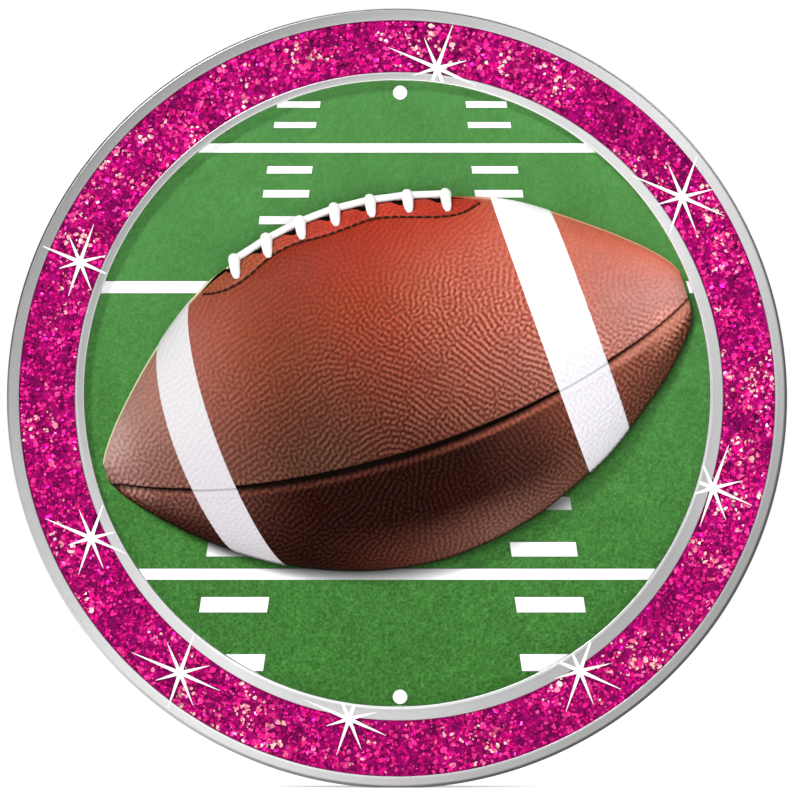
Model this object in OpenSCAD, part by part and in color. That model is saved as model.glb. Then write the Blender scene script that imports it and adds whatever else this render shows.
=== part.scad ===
// Round football emblem: a 2 inch insert for a medal, trophy or plaque.
// Layers from back to front: foam pad, metal back plate, silver bezel, pink
// glitter ring, inner silver ring, turf field with white markings, and a raised
// football with leather panels, stripes, seam and laces.
// The emblem stands upright: its face looks to -Y and +Z is the top of the picture.
// The origin is the centre of the back mounting face.
// Shapes are drawn flat (x right, y up, z out of the face) and turned up by upright().

/* [Disc] */
// Radius of the straight outer wall
disc_r = 25.4; // [24:0.1:27]
// Width of the outer silver rim seen from the front
rim_w = 0.76; // [0.5:0.02:1.2]
// Front chamfer of the outer rim
rim_chamfer = 0.2; // [0.05:0.05:0.3]
// Height of the rim face above the mounting face
rim_top = 3.42; // [3.36:0.02:3.8]
// Radius of the glitter ring's inner edge
glitter_in_r = 21.16; // [20.9:0.02:21.6]
// Height of the glitter ring's face
glitter_top = 3.3; // [3:0.02:3.34]
// Radius of the field
field_r = 20.44; // [20.3:0.02:20.6]
// Sideways and upward offset of the glitter ring's inner edge
ring_dx = 0.13; // [0:0.01:0.15]
ring_dy = 0.14; // [0:0.01:0.2]
// Upward offset of the field
field_dy = 0.33; // [0.2:0.01:0.36]
// Height of the turf
field_top = 2.7; // [2.4:0.05:2.8]
// Thickness of the white field markings
mark_t = 0.08; // [0.04:0.01:0.15]

/* [Back] */
// Radius of the adhesive pad
pad_r = 22; // [18:0.5:24]
// Thickness of the adhesive pad
pad_t = 0.8; // [0.5:0.1:1.2]
// Thickness of the back plate
plate_t = 1; // [0.8:0.1:1.2]
// Radius of the back plate
plate_r = 25; // [24.9:0.05:25.1]

/* [Ball] */
// Largest half width of the ball
ball_r = 11.83; // [11:0.05:12]
// Height of the ball's relief above the turf
ball_h = 4.8; // [3:0.1:6]
// Tilt of the ball's long axis
ball_tilt = 17; // [0:1:30]
// Length from the widest place to the left and right points
ball_left = 20.07; // [19.6:0.05:20.3]
ball_right = 21; // [20.6:0.05:21.2]
// Fullness of the outline, lower is fuller
ball_q = 0.84; // [0.75:0.01:0.95]
// Thickness of the leather panels
leather_t = 0.35; // [0.2:0.05:0.35]
// Width of the seam between the panels
seam_w = 0.3; // [0.15:0.05:0.4]

/* [Laces] */
// Number of cross laces
bar_n = 7; // [4:1:8]
// Distance between the first and the last cross lace
bar_span = 14.4; // [10:0.2:15]
// Radius of a cross lace
bar_r = 0.3; // [0.2:0.02:0.34]
// Radius of the lengthwise lace
cord_r = 0.25; // [0.15:0.01:0.28]

/* [Sparkles] */
// Length of the longest ray
ray_len = 3.4; // [2:0.1:3.6]
// Radius of a sparkle's bright centre
star_r = 0.3; // [0.2:0.02:0.4]
// Thickness of the sparkle foil over the rims
foil_t = 0.04; // [0.02:0.01:0.08]

/* [Hidden] */
$fn = 96;

plate_top = pad_t + plate_t;
rim_in = disc_r - rim_w;

silver = [0.76, 0.76, 0.77];
pink = [0.78, 0.06, 0.45];
turf = [0.3, 0.57, 0.26];
chalk = [0.96, 0.96, 0.96];
leather = [0.55, 0.29, 0.23];
leather_top = [0.7, 0.3, 0.2];
thread = [0.12, 0.09, 0.08];

// Ball frame: origin at the middle of its long axis, axis tilted in the disc plane
ball_x = -1.96;
ball_y = 0.44;
ball_wide = 1.99;    // where along the axis the ball is widest
tip_l = -17.85;      // blunt ends of the axis
tip_r = 22.04;
stripe_l = [-11.81, -8.8];   // left stripe, from and to along the axis
stripe_r = [12, 15.4];       // right stripe
ring_lean = 0.05;    // how far the rings lean off square
// What the outline has beyond the fair curve, above and below: place on the axis, extra half width
TOP_FIX = [[-17.85, 0.2], [-16.5, 0.17], [-15, 0.12], [-13.5, 0.19], [-12, 0.28],
           [-10.5, 0.4], [-9.2, 0.47], [-8, 0.51], [-7, 0.44], [-6, 0.32], [-4.7, 0.23],
           [-2.5, 0.17], [0, 0.13], [2.6, 0.06], [5, -0.02], [7.4, -0.1], [9, -0.13],
           [11, -0.06], [13, -0.04], [15, -0.17], [17, -0.22], [19, -0.12],
           [20.5, 0.02], [22.04, 0.05]];
LOW_FIX = [[-17.85, 0.28], [-17, 0.28], [-15.7, 0.25], [-14.3, 0.18], [-11, 0.18],
           [-8, 0.16], [-5.8, 0.1], [-3, 0.1], [1.3, 0.12], [5, 0.06], [9.3, 0.02],
           [10.7, -0.06], [14, -0.02], [15.8, -0.12], [17.5, -0.1], [19, 0],
           [20.7, -0.05], [22.04, -0.1]];

// Field markings: height, thickness, and the inner and outer ends left and right
LINES = [[16.35, 0.6], [7.26, 0.78], [-11.49, 0.72]];
HASHES = [[19.19, 0.42, -7.82, -5.02, 4.5, 7.17],
          [17.85, 0.38, -8.02, -5.28, 4.63, 7.43],
          [14.92, 0.48, -8.48, -5.54, 4.89, 7.89],
          [13.36, 0.49, -8.74, -5.74, 5.09, 8.22],
          [11.63, 0.52, -9, -5.9, 5.2, 8.5],
          [-6.86, 0.85, -12, -8.5, 7.1, 11.35],
          [-9.86, 0.94, -12.39, -8.6, 7.43, 11.74],
          [-13.48, 1, -12.85, -8.42, 7.76, 12.25],
          [-17.26, 1.1, -13.5, -8.67, 8.09, 13]];
hash_slope = 0.15;
DOTS = [[0.2, 19.97, 0.46], [0.2, -19.5, 0.47]];

// Sparkles: place on the glitter ring and size
STARS = [[2.61, 21.54, 1.02], [18.59, 13.13, 1.08], [-20.67, 8.89, 0.88],
         [20.61, -5.85, 1], [-19.95, -9.11, 0.95], [-14.15, -17.91, 1.02],
         [11.93, -17.78, 1.05], [-3.13, -20.91, 0.95]];
// Direction and share of the longest ray for the eight rays
RAYS = [[14, 0.58], [70, 0.88], [113, 0.62], [157, 1],
        [197, 0.48], [251, 0.78], [292, 0.66], [336, 0.82]];

// ---- ball surface ----
function half_w(s) =
    let(u = s < ball_wide ? (ball_wide - s) / ball_left : (s - ball_wide) / ball_right)
    ball_r * pow(1 - min(u * u, 0.9999), ball_q);
// A ring is labelled by its place g on the axis; seen from the front it bows
// to the left at the left end and runs nearly straight at the right end.
function bow(g) = 0.107 - 0.0078 * g;
function ring_s(g, f) =
    max(tip_l, min(tip_r, g - bow(g) * half_w(g) * sin(f) + ring_lean * half_w(g) * cos(f)));
// Point at place s on the axis, angle f (0 below, 90 front, 180 above) and height h
// off the leather; depths below it shrink towards the thin ends
function at_axis(s, f, h) =
    let(r = half_w(s), k = r * ball_h / ball_r,
        d = h < 0 ? h * min(1, 0.55 * k / leather_t) : h,
        e = lookup(s, cos(f) < 0 ? TOP_FIX : LOW_FIX),
        t = -(r + e + d) * cos(f), z = field_top + (k + d) * sin(f))
    [ball_x + s * cos(ball_tilt) - t * sin(ball_tilt),
     ball_y + s * sin(ball_tilt) + t * cos(ball_tilt), z];
// The same point on ring g instead
function on_ball(g, f, h) =
    at_axis(g <= tip_l || g >= tip_r ? g : ring_s(g, f), f, h);

// Rings used by every piece of the ball, so that neighbours meet face to face
function span(a, b, n) = [for (i = [0 : n - 1]) a + (b - a) * i / n];
G1 = span(tip_l, stripe_l[0], 12);
G2 = span(stripe_l[0], stripe_l[1], 4);
G3 = span(stripe_l[1], stripe_r[0], 22);
G4 = span(stripe_r[0], stripe_r[1], 5);
G5 = concat(span(stripe_r[1], tip_r, 12), [tip_r]);
G = concat(G1, G2, G3, G4, G5);
last = len(G) - 1;
i_l = [len(G1), len(G1) + len(G2)];
i_r = [len(G1) + len(G2) + len(G3), len(G1) + len(G2) + len(G3) + len(G4)];

// Facets round the lower and the upper panel
n_low = 7;
n_high = 14;
// Seam angle at ring g, and half the seam's width as an angle
function seam_f(g) = acos(max(-0.9, min(0.9,
    0.395 - (g < 0 ? 0.03 * g : 0.0007 * g * g) / half_w(g))));
function seam_d(g) = min(20, seam_w / 2 / (0.93 * half_w(g)) * 57.3);
LO = [for (g = G) seam_f(g) - seam_d(g)];
HI = [for (g = G) seam_f(g) + seam_d(g)];

// Closed skin between heights h0 and h1 over rings gs, with angles from a[i] to b[i];
// straight skins take gs as places on the axis
module skin(gs, a, b, n, h0, h1, straight = false) {
    m = len(gs);
    w = n + 1;
    fa = [for (i = [0 : m - 1]) [for (j = [0 : n]) a[i] + (b[i] - a[i]) * j / n]];
    outer = [for (i = [0 : m - 1]) for (j = [0 : n])
        straight ? at_axis(gs[i], fa[i][j], h1) : on_ball(gs[i], fa[i][j], h1)];
    inner = [for (i = [0 : m - 1]) for (j = [0 : n])
        straight ? at_axis(gs[i], fa[i][j], h0) : on_ball(gs[i], fa[i][j], h0)];
    k = m * w;
    top = [for (i = [0 : m - 2]) for (j = [0 : n - 1])
        each [[i * w + j, i * w + j + 1, (i + 1) * w + j + 1],
              [i * w + j, (i + 1) * w + j + 1, (i + 1) * w + j]]];
    bottom = [for (i = [0 : m - 2]) for (j = [0 : n - 1])
        each [[k + i * w + j, k + (i + 1) * w + j + 1, k + i * w + j + 1],
              [k + i * w + j, k + (i + 1) * w + j, k + (i + 1) * w + j + 1]]];
    sides = [for (i = [0 : m - 2])
        each [[i * w, (i + 1) * w, k + i * w], [k + i * w, (i + 1) * w, k + (i + 1) * w],
              [i * w + n, k + i * w + n, (i + 1) * w + n],
              [k + i * w + n, k + (i + 1) * w + n, (i + 1) * w + n]]];
    z = (m - 1) * w;
    ends = [for (j = [0 : n - 1])
        each [[j, k + j, j + 1], [k + j, k + j + 1, j + 1],
              [z + j, z + j + 1, k + z + j], [k + z + j, z + j + 1, k + z + j + 1]]];
    polyhedron(concat(outer, inner), concat(top, bottom, sides, ends));
}

// Round cord swept along points p with radius r[i] and m sides, domed by its own taper
module cord(p, r, m) {
    n = len(p);
    function unit(v) = v / norm(v);
    dir = [for (i = [0 : n - 1]) unit(p[min(n - 1, i + 1)] - p[max(0, i - 1)])];
    side = [for (i = [0 : n - 1]) unit(cross(dir[i], [0.2, 0.1, 1]))];
    up = [for (i = [0 : n - 1]) cross(side[i], dir[i])];
    pts = concat([for (i = [0 : n - 1]) for (j = [0 : m - 1])
        p[i] + r[i] * (cos(j * 360 / m) * side[i] + sin(j * 360 / m) * up[i])],
        [p[0], p[n - 1]]);
    wall = [for (i = [0 : n - 2]) for (j = [0 : m - 1]) let(q = (j + 1) % m)
        each [[i * m + j, (i + 1) * m + j, i * m + q],
              [i * m + q, (i + 1) * m + j, (i + 1) * m + q]]];
    caps = [for (j = [0 : m - 1]) let(q = (j + 1) % m)
        each [[n * m, j, q], [n * m + 1, (n - 1) * m + q, (n - 1) * m + j]]];
    polyhedron(pts, concat(wall, caps));
}

module upright() { rotate([90, 0, 0]) children(); }

// Ring turned about the axis from [radius, height] corners
module turned(p) { rotate_extrude($fn = 180) polygon(p); }

module field_round(h0, h1) {
    translate([0, field_dy, h0]) cylinder(r = field_r, h = h1 - h0, $fn = 180);
}

// Outline of the ball on the turf
module ball_foot(h0, h1) {
    gs = [for (i = [0 : 48]) tip_l + (tip_r - tip_l) * i / 48];
    translate([ball_x, ball_y, h0]) rotate([0, 0, ball_tilt]) linear_extrude(h1 - h0)
        polygon(concat([for (g = gs) [g, -half_w(g) - lookup(g, LOW_FIX) - 0.02]],
                       [for (i = [48 : -1 : 0]) [gs[i], half_w(gs[i]) + lookup(gs[i], TOP_FIX) + 0.02]]));
}

module adhesive_pad() {
    color([0.93, 0.93, 0.9]) upright() cylinder(r = pad_r, h = pad_t, $fn = 180);
}

module back_plate() {
    color([0.66, 0.67, 0.69]) upright() translate([0, 0, pad_t])
        cylinder(r = plate_r, h = plate_t, $fn = 180);
}

module outer_bezel() {
    color(silver) upright() turned([
        [plate_r, pad_t], [disc_r, pad_t], [disc_r, rim_top - rim_chamfer],
        [disc_r - rim_chamfer, rim_top], [rim_in + 0.06, rim_top],
        [rim_in, rim_top - 0.06], [rim_in, plate_top], [plate_r, plate_top]]);
}

module glitter_ring() {
    color(pink) upright() difference() {
        translate([0, 0, plate_top]) cylinder(r = rim_in, h = glitter_top - plate_top, $fn = 180);
        translate([ring_dx, ring_dy, plate_top - 1]) cylinder(r = glitter_in_r, h = 9, $fn = 180);
    }
}

module star_shape(s) {
    polygon([for (i = [0 : 15]) let(k = floor(i / 2), a = RAYS[k][0],
        b = i % 2 == 0 ? a : (a + (k == 7 ? 374 : RAYS[k + 1][0])) / 2,
        d = i % 2 == 0 ? ray_len * RAYS[k][1] * s : star_r)
        [d * cos(b), d * sin(b)]]);
}

module sparkle_stars() {
    color(chalk) upright() difference() {
        intersection() {
            translate([0, 0, glitter_top]) cylinder(r = disc_r - 0.3, h = 1, $fn = 180);
            for (p = STARS) translate([p[0], p[1], glitter_top])
                linear_extrude(rim_top + foil_t - glitter_top) star_shape(p[2]);
        }
        // clear of both rims, whose faces stand a little above the glitter
        difference() {
            translate([0, 0, glitter_top - 1]) cylinder(r = disc_r + 1, h = rim_top - glitter_top + 1, $fn = 180);
            translate([0, 0, glitter_top - 2]) cylinder(r = rim_in, h = 4, $fn = 180);
        }
        translate([ring_dx, ring_dy, glitter_top - 1])
            cylinder(r = glitter_in_r, h = rim_top - glitter_top + 1, $fn = 180);
        // nothing over the recessed field
        field_round(0, 9);
    }
}

module inner_ring() {
    color(silver) upright() difference() {
        translate([ring_dx, ring_dy, plate_top])
            cylinder(r = glitter_in_r, h = rim_top - plate_top, $fn = 180);
        field_round(0, 9);
    }
}

module field_disc() {
    color(turf) upright() field_round(plate_top, field_top);
}

// Keeps white markings inside the field and clear of the ball
module on_field() {
    difference() {
        intersection() {
            children();
            translate([0, field_dy, field_top - 1]) cylinder(r = field_r - 0.01, h = 4, $fn = 180);
        }
        ball_foot(field_top - 1, field_top + 1);
    }
}

module yard_lines() {
    color(chalk) upright() on_field()
        for (p = LINES) translate([-25, p[0] - p[1] / 2, field_top]) cube([50, p[1], mark_t]);
}

// One short mark whose ends splay outwards towards the bottom
module hash(y, t, x0, x1, lean) {
    d = lean * t / 2;
    translate([0, y, field_top]) linear_extrude(mark_t)
        polygon([[x0 - d, -t / 2], [x1 - d, -t / 2], [x1 + d, t / 2], [x0 + d, t / 2]]);
}

module hash_marks() {
    color(chalk) upright() on_field()
        for (p = HASHES) {
            hash(p[0], p[1], p[2], p[3], hash_slope);
            hash(p[0], p[1], p[4], p[5], -hash_slope);
        }
}

module dot_marks() {
    color(chalk) upright() for (p = DOTS)
        translate([p[0], p[1], field_top]) cylinder(r = p[2], h = mark_t, $fn = 48);
}

// Moulded core: flat back on the turf, domed front under the leather
module ball_core() {
    n = n_low + n_high + 1;
    w = n + 1;
    m = len(G);
    // the seam angles are part of the grid, so panels and core share their facets
    fa = [for (i = [0 : last]) concat(
        [for (j = [0 : n_low - 1]) LO[i] * j / n_low], [LO[i], HI[i]],
        [for (j = [1 : n_high]) HI[i] + (180 - HI[i]) * j / n_high])];
    pts = concat([for (i = [0 : last]) for (j = [0 : n]) on_ball(G[i], fa[i][j], -leather_t)],
                 [for (i = [0 : last]) (on_ball(G[i], 0, -leather_t) + on_ball(G[i], 180, -leather_t)) / 2]);
    k = m * w;
    front = [for (i = [0 : m - 2]) for (j = [0 : n - 1])
        each [[i * w + j, i * w + j + 1, (i + 1) * w + j + 1],
              [i * w + j, (i + 1) * w + j + 1, (i + 1) * w + j]]];
    z = (m - 1) * w;
    back = [for (i = [0 : m - 2])
        each [[k + i, i * w, (i + 1) * w], [k + i, (i + 1) * w, k + i + 1],
              [k + i, (i + 1) * w + n, i * w + n], [k + i, k + i + 1, (i + 1) * w + n]]];
    ends = [for (j = [0 : n - 1])
        each [[k, j + 1, j], [k + m - 1, z + j, z + j + 1]]];
    color([0.4, 0.2, 0.14]) upright() polyhedron(pts, concat(front, back, ends));
}

module lower_panel() {
    color(leather) upright() skin(G, [for (g = G) 0], LO, n_low, -leather_t, 0);
}

module upper_panel() {
    color(leather_top) upright() skin(G, HI, [for (g = G) 180], n_high, -leather_t, 0);
}

module seam_cord() {
    color(thread) upright() skin(G, LO, HI, 1, -leather_t, -0.12);
}

function part(v, a, b) = [for (i = [a : b]) v[i]];

// A painted stripe lies on both panels and dips at the seam
module stripe(a, b) {
    upright() {
        skin(part(G, a, b), [for (i = [a : b]) 0], part(LO, a, b), n_low, 0, 0.05);
        skin(part(G, a, b), part(HI, a, b), [for (i = [a : b]) 180], n_high, 0, 0.05);
    }
}

module left_stripe() { color(chalk) stripe(i_l[0], i_l[1]); }
module right_stripe() { color(chalk) stripe(i_r[0], i_r[1]); }

// Lace strip: a long leaf of leather between the stitching and the top of the ball
strip_from = -8.5;
strip_to = 10.7;
// Lower edge of the leaf: place on the axis and angle; its upper edge lies along the lace opening
LEAF = [[-8.5, 164.5], [-8.3, 161.5], [-7.87, 156], [-7.05, 151.5], [-6, 150], [-5, 151],
        [-4.1, 153.4], [-3.3, 155.2], [-2.5, 155.7], [-1.5, 154.8], [-0.4, 152.8],
        [0.8, 151.8], [2, 152.6], [3.1, 154], [4.1, 154.3], [5.15, 153], [6.4, 151.2],
        [7.7, 150], [8.8, 150.8], [9.8, 154.6], [10.5, 160.5], [10.7, 164.5]];
function leaf_f(s) = lookup(s, LEAF);
function leaf_top(s) = 165 + 2 * min(1, (s - strip_from) / 2, (strip_to - s) / 2);
STRIP = [for (i = [0 : 40]) let(u = i / 20 - 1)
    (strip_from + strip_to) / 2 + (strip_to - strip_from) / 2 * u * (1.5 - 0.5 * u * u)];

module lace_strip() {
    color([0.72, 0.25, 0.18]) upright()
        skin(STRIP, [for (g = STRIP) leaf_f(g)], [for (g = STRIP) leaf_top(g)], 4, 0.02, 0.09, true);
}

bar_first = -5.85;
function bar_s(i) = bar_first + bar_span * i / (bar_n - 1);

module lace_bars() {
    // from the lower end, tucked into its hole, up and over the lengthwise lace
    U = [0, 0.05, 0.16, 0.34, 0.55, 0.74, 0.88, 1];
    H = [0.16, 0.22, 0.3, 0.38, 0.42, 0.42, 0.4, 0.36];
    R = [0.35, 0.65, 0.82, 0.92, 1, 1, 0.9, 0.55];
    color(chalk) upright() for (i = [0 : bar_n - 1]) {
        f = 151.8 + 2.7 * sin(180 * (i + 0.4) / bar_n);
        cord([for (k = [0 : 7]) at_axis(bar_s(i) - 0.12 + 0.24 * U[k], f + (169.5 - f) * U[k], H[k])],
             [for (k = [0 : 7]) bar_r * R[k]], 10);
    }
}

module lace_cord() {
    // one stretch between each pair of cross laces, butted against their flanks
    color(chalk) upright() for (i = [0 : bar_n - 2]) {
        a = bar_s(i) + bar_r + 0.1;
        b = bar_s(i + 1) - bar_r - 0.1;
        cord([for (k = [0 : 6]) at_axis(a + (b - a) * k / 6, 169.2, 0.28)],
             [for (k = [0 : 6]) cord_r * (k == 0 || k == 6 ? 0.85 : 1)], 8);
    }
}

module lace_stitching() {
    // short thread dashes just outside the lace strip
    n = 30;
    a = strip_from + 0.15;
    b = strip_to - 0.15;
    color(thread) upright() for (i = [0 : n - 1]) {
        c = a + (b - a) * (i + 0.5) / n;
        cord([for (k = [0 : 3]) let(s = c + (k - 1.5) * 0.14) at_axis(s, leaf_f(s) - 1.6, 0.08)],
             [for (k = [0 : 3]) k == 0 || k == 3 ? 0.04 : 0.07], 6);
    }
}

adhesive_pad();
back_plate();
outer_bezel();
glitter_ring();
sparkle_stars();
inner_ring();
field_disc();
yard_lines();
hash_marks();
dot_marks();
ball_core();
lower_panel();
upper_panel();
left_stripe();
right_stripe();
seam_cord();
lace_strip();
lace_stitching();
lace_cord();
lace_bars();
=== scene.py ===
import math

import bpy
import numpy as np
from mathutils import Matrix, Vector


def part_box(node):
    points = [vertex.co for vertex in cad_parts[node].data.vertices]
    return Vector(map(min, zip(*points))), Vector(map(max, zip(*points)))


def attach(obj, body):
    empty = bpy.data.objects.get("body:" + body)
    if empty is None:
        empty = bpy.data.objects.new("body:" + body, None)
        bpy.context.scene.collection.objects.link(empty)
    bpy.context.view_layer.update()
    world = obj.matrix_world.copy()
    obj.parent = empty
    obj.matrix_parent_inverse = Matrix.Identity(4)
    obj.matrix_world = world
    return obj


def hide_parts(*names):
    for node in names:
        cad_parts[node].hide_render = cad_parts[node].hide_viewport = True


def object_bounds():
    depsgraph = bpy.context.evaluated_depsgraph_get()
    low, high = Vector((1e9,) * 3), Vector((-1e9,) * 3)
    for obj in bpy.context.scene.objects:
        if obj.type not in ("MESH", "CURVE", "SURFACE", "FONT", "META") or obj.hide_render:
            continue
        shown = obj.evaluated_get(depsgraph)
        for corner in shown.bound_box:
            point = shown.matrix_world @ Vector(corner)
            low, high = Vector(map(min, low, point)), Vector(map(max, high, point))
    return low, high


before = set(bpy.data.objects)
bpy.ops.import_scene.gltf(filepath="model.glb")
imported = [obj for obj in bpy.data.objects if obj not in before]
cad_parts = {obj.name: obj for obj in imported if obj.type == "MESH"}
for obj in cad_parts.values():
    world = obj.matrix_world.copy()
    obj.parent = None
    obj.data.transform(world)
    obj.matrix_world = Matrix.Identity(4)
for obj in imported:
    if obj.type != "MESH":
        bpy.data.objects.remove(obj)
cad_lo, cad_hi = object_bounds()

MM = 0.001
rng = np.random.default_rng(20)

# ---------------------------------------------------------------------------
# Sizes, in millimetres, the same as the CAD's own
# ---------------------------------------------------------------------------
DISC_R = cad_hi[0] / MM
PAD_T = 0.8
PLATE_TOP = 1.8
RIM_TOP = -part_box("outer_bezel")[0][1] / MM
RIM_IN = DISC_R - 0.76
RIM_CH = 0.2
EDGE_R = DISC_R + 0.05
GLIT_IN = 21.16
GLIT_TOP = -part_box("glitter_ring")[0][1] / MM
RING_C = (0.13, 0.14)
FIELD_R = 20.44
FIELD_DY = 0.33
FIELD_TOP = -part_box("field_disc")[0][1] / MM

BALL_R, BALL_H = 11.83, 4.8
BALL_L, BALL_RT, BALL_Q = 20.07, 21.0, 0.84
BALL_X, BALL_Y, BALL_W = -1.96, 0.44, 1.99
TIP_L, TIP_R = -17.85, 21.82
STRIPE_L = (-11.62, -8.7)
STRIPE_R = (11.9, 15.28)
LEAN = 0.05
TILT = math.radians(17)
SEAM_W = 0.3
LEATHER_T = 0.35
BAR_N, BAR_SPAN, BAR_R, BAR_FIRST = 7, 14.4, 0.3, -5.85
CORD_R = 0.25
STRIP_FROM, STRIP_TO = -8.5, 10.7
# what the outline has beyond the fair curve, above and below
TOP_FIX = np.array([
    [-17.85, 0.2], [-16.5, 0.17], [-15, 0.12], [-13.5, 0.19], [-12, 0.28], [-10.5, 0.4],
    [-9.2, 0.47], [-8, 0.51], [-7, 0.44], [-6, 0.32], [-4.7, 0.23], [-2.5, 0.17], [0, 0.13],
    [2.6, 0.06], [5, -0.02], [7.4, -0.1], [9, -0.13], [11, -0.06], [13, -0.04], [15, -0.17],
    [17, -0.22], [19, -0.12], [20.5, 0.02], [22.04, 0.05]])
LOW_FIX = np.array([
    [-17.85, 0.28], [-17, 0.28], [-15.7, 0.25], [-14.3, 0.18], [-11, 0.18], [-8, 0.16],
    [-5.8, 0.1], [-3, 0.1], [1.3, 0.12], [5, 0.06], [9.3, 0.02], [10.7, -0.06], [14, -0.02],
    [15.8, -0.12], [17.5, -0.1], [19, 0], [20.7, -0.05], [22.04, -0.1]])
LEAF = np.array([
    [-8.5, 164.5], [-8.3, 161.5], [-7.87, 156], [-7.05, 151.5], [-6, 150], [-5, 151],
    [-4.1, 153.4], [-3.3, 155.2], [-2.5, 155.7], [-1.5, 154.8], [-0.4, 152.8], [0.8, 151.8],
    [2, 152.6], [3.1, 154], [4.1, 154.3], [5.15, 153], [6.4, 151.2], [7.7, 150], [8.8, 150.8],
    [9.8, 154.6], [10.5, 160.5], [10.7, 164.5]])


# ---------------------------------------------------------------------------
# Small tools
# ---------------------------------------------------------------------------
def lin(r, g, b):
    """0-255 display colour to linear."""
    c = np.array([r, g, b], float) / 255
    return tuple(np.where(c <= 0.04045, c / 12.92, ((c + 0.055) / 1.055) ** 2.4))


def linc(*c):
    return np.array(lin(*c))


def ease(u):
    u = np.clip(u, 0, 1)
    return u * u * (3 - 2 * u)


def mix(a, b, t):
    t = np.asarray(t)[..., None] if np.ndim(a) else t
    return a + (b - a) * t


def _hash(ix, iy, iz, k):
    h = (ix * 73856093) ^ (iy * 19349663) ^ (iz * 83492791) ^ (k * 2654435761)
    h &= 0xFFFFFFFF
    h = ((h ^ (h >> 13)) * 1274126177) & 0xFFFFFFFF
    h = ((h ^ (h >> 16)) * 2246822519) & 0xFFFFFFFF
    h ^= h >> 15
    return h / 4294967296.0


def cells(p, size, seed, jitter=0.85):
    """Distance to the nearest and second nearest seed point, and the nearest one's own number."""
    q = p / np.asarray(size, float)
    i0 = np.floor(q).astype(np.int64)
    f1 = np.full(len(q), 9.0)
    f2 = np.full(len(q), 9.0)
    own = np.zeros(len(q))
    dims = p.shape[1]
    steps = [(-1, 0, 1)] * dims + [(0,)] * (3 - dims)
    for dx in steps[0]:
        for dy in steps[1]:
            for dz in steps[2]:
                c = i0 + np.array((dx, dy, dz)[:dims])
                cz = c[:, 2] if dims == 3 else np.zeros(len(c), np.int64)
                d2 = np.zeros(len(q))
                for a in range(dims):
                    o = 0.5 + jitter * (_hash(c[:, 0], c[:, 1], cz, seed + a) - 0.5)
                    d2 += (c[:, a] + o - q[:, a]) ** 2
                d = np.sqrt(d2)
                near = d < f1
                f2 = np.where(near, f1, np.minimum(f2, d))
                own = np.where(near, _hash(c[:, 0], c[:, 1], cz, seed + 9), own)
                f1 = np.where(near, d, f1)
    return f1, f2, own


def smooth_noise(p, size, seed):
    """Value noise from 0 to 1."""
    q = p / np.asarray(size, float)
    i0 = np.floor(q).astype(np.int64)
    f = q - i0
    f = f * f * (3 - 2 * f)
    dims = p.shape[1]
    out = np.zeros(len(q))
    for corner in range(2 ** dims):
        bits = [(corner >> a) & 1 for a in range(dims)]
        c = i0 + np.array(bits)
        cz = c[:, 2] if dims == 3 else np.zeros(len(c), np.int64)
        w = np.ones(len(q))
        for a in range(dims):
            w *= f[:, a] if bits[a] else 1 - f[:, a]
        out += w * _hash(c[:, 0], c[:, 1], cz, seed)
    return out


def to_world(v):
    """Disc plane (x right, y up, z out of the face) in mm to the row frame in metres."""
    v = np.asarray(v, float)
    return np.stack([v[:, 0], -v[:, 2], v[:, 1]], 1) * MM


def make(name, verts, quads=None, tris=None, ngons=None, mats=(), smooth=True,
         sharp=None, colour=None, slot=None, replaces=(), face_mat=None, amount=None):
    """A mesh piece from arrays, riding on the one body."""
    me = bpy.data.meshes.new(name)
    v = to_world(verts)
    me.vertices.add(len(v))
    me.vertices.foreach_set("co", v.astype(np.float32).ravel())
    loops, starts, at = [], [], 0
    for f, k in ((quads, 4), (tris, 3)):
        if f is not None and len(f):
            f = np.asarray(f, np.int32)
            loops.append(f.ravel())
            starts.append(at + k * np.arange(len(f)))
            at += k * len(f)
    for g in ngons or ():
        loops.append(np.asarray(g, np.int32))
        starts.append(np.array([at]))
        at += len(g)
    loops = np.concatenate(loops)
    starts = np.concatenate(starts)
    me.loops.add(len(loops))
    me.loops.foreach_set("vertex_index", loops.astype(np.int32))
    me.polygons.add(len(starts))
    me.polygons.foreach_set("loop_start", starts.astype(np.int32))
    me.update(calc_edges=True)
    me.polygons.foreach_set("use_smooth", np.full(len(starts), bool(smooth)))
    if colour is not None:
        a = me.color_attributes.new("tone", "FLOAT_COLOR", "POINT")
        c = np.ones((len(v), 4), np.float32)
        c[:, :3] = colour
        a.data.foreach_set("color", c.ravel())
    if amount is not None:
        a = me.attributes.new("amount", "FLOAT", "POINT")
        a.data.foreach_set("value", np.asarray(amount, np.float32))
    if face_mat is not None:
        me.polygons.foreach_set("material_index", np.asarray(face_mat, np.int32))
    me.validate()
    if smooth and sharp:
        me.set_sharp_from_angle(angle=math.radians(sharp))
    o = bpy.data.objects.new(name, me)
    bpy.context.scene.collection.objects.link(o)
    for m in mats:
        me.materials.append(m)
    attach(o, "root")
    if replaces:
        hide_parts(*replaces)
    return o


def ring_grid(m, n, closed_u=True, closed_v=True, base=0):
    """Quads of an m by n grid of points, row by row."""
    i = np.arange(m if closed_u else m - 1)[:, None]
    j = np.arange(n if closed_v else n - 1)[None, :]
    a = i * n + j
    b = i * n + (j + 1) % n
    c = ((i + 1) % m) * n + (j + 1) % n
    d = ((i + 1) % m) * n + j
    return base + np.stack([a + 0 * i, b + 0 * i, c, d], -1).reshape(-1, 4)


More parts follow.
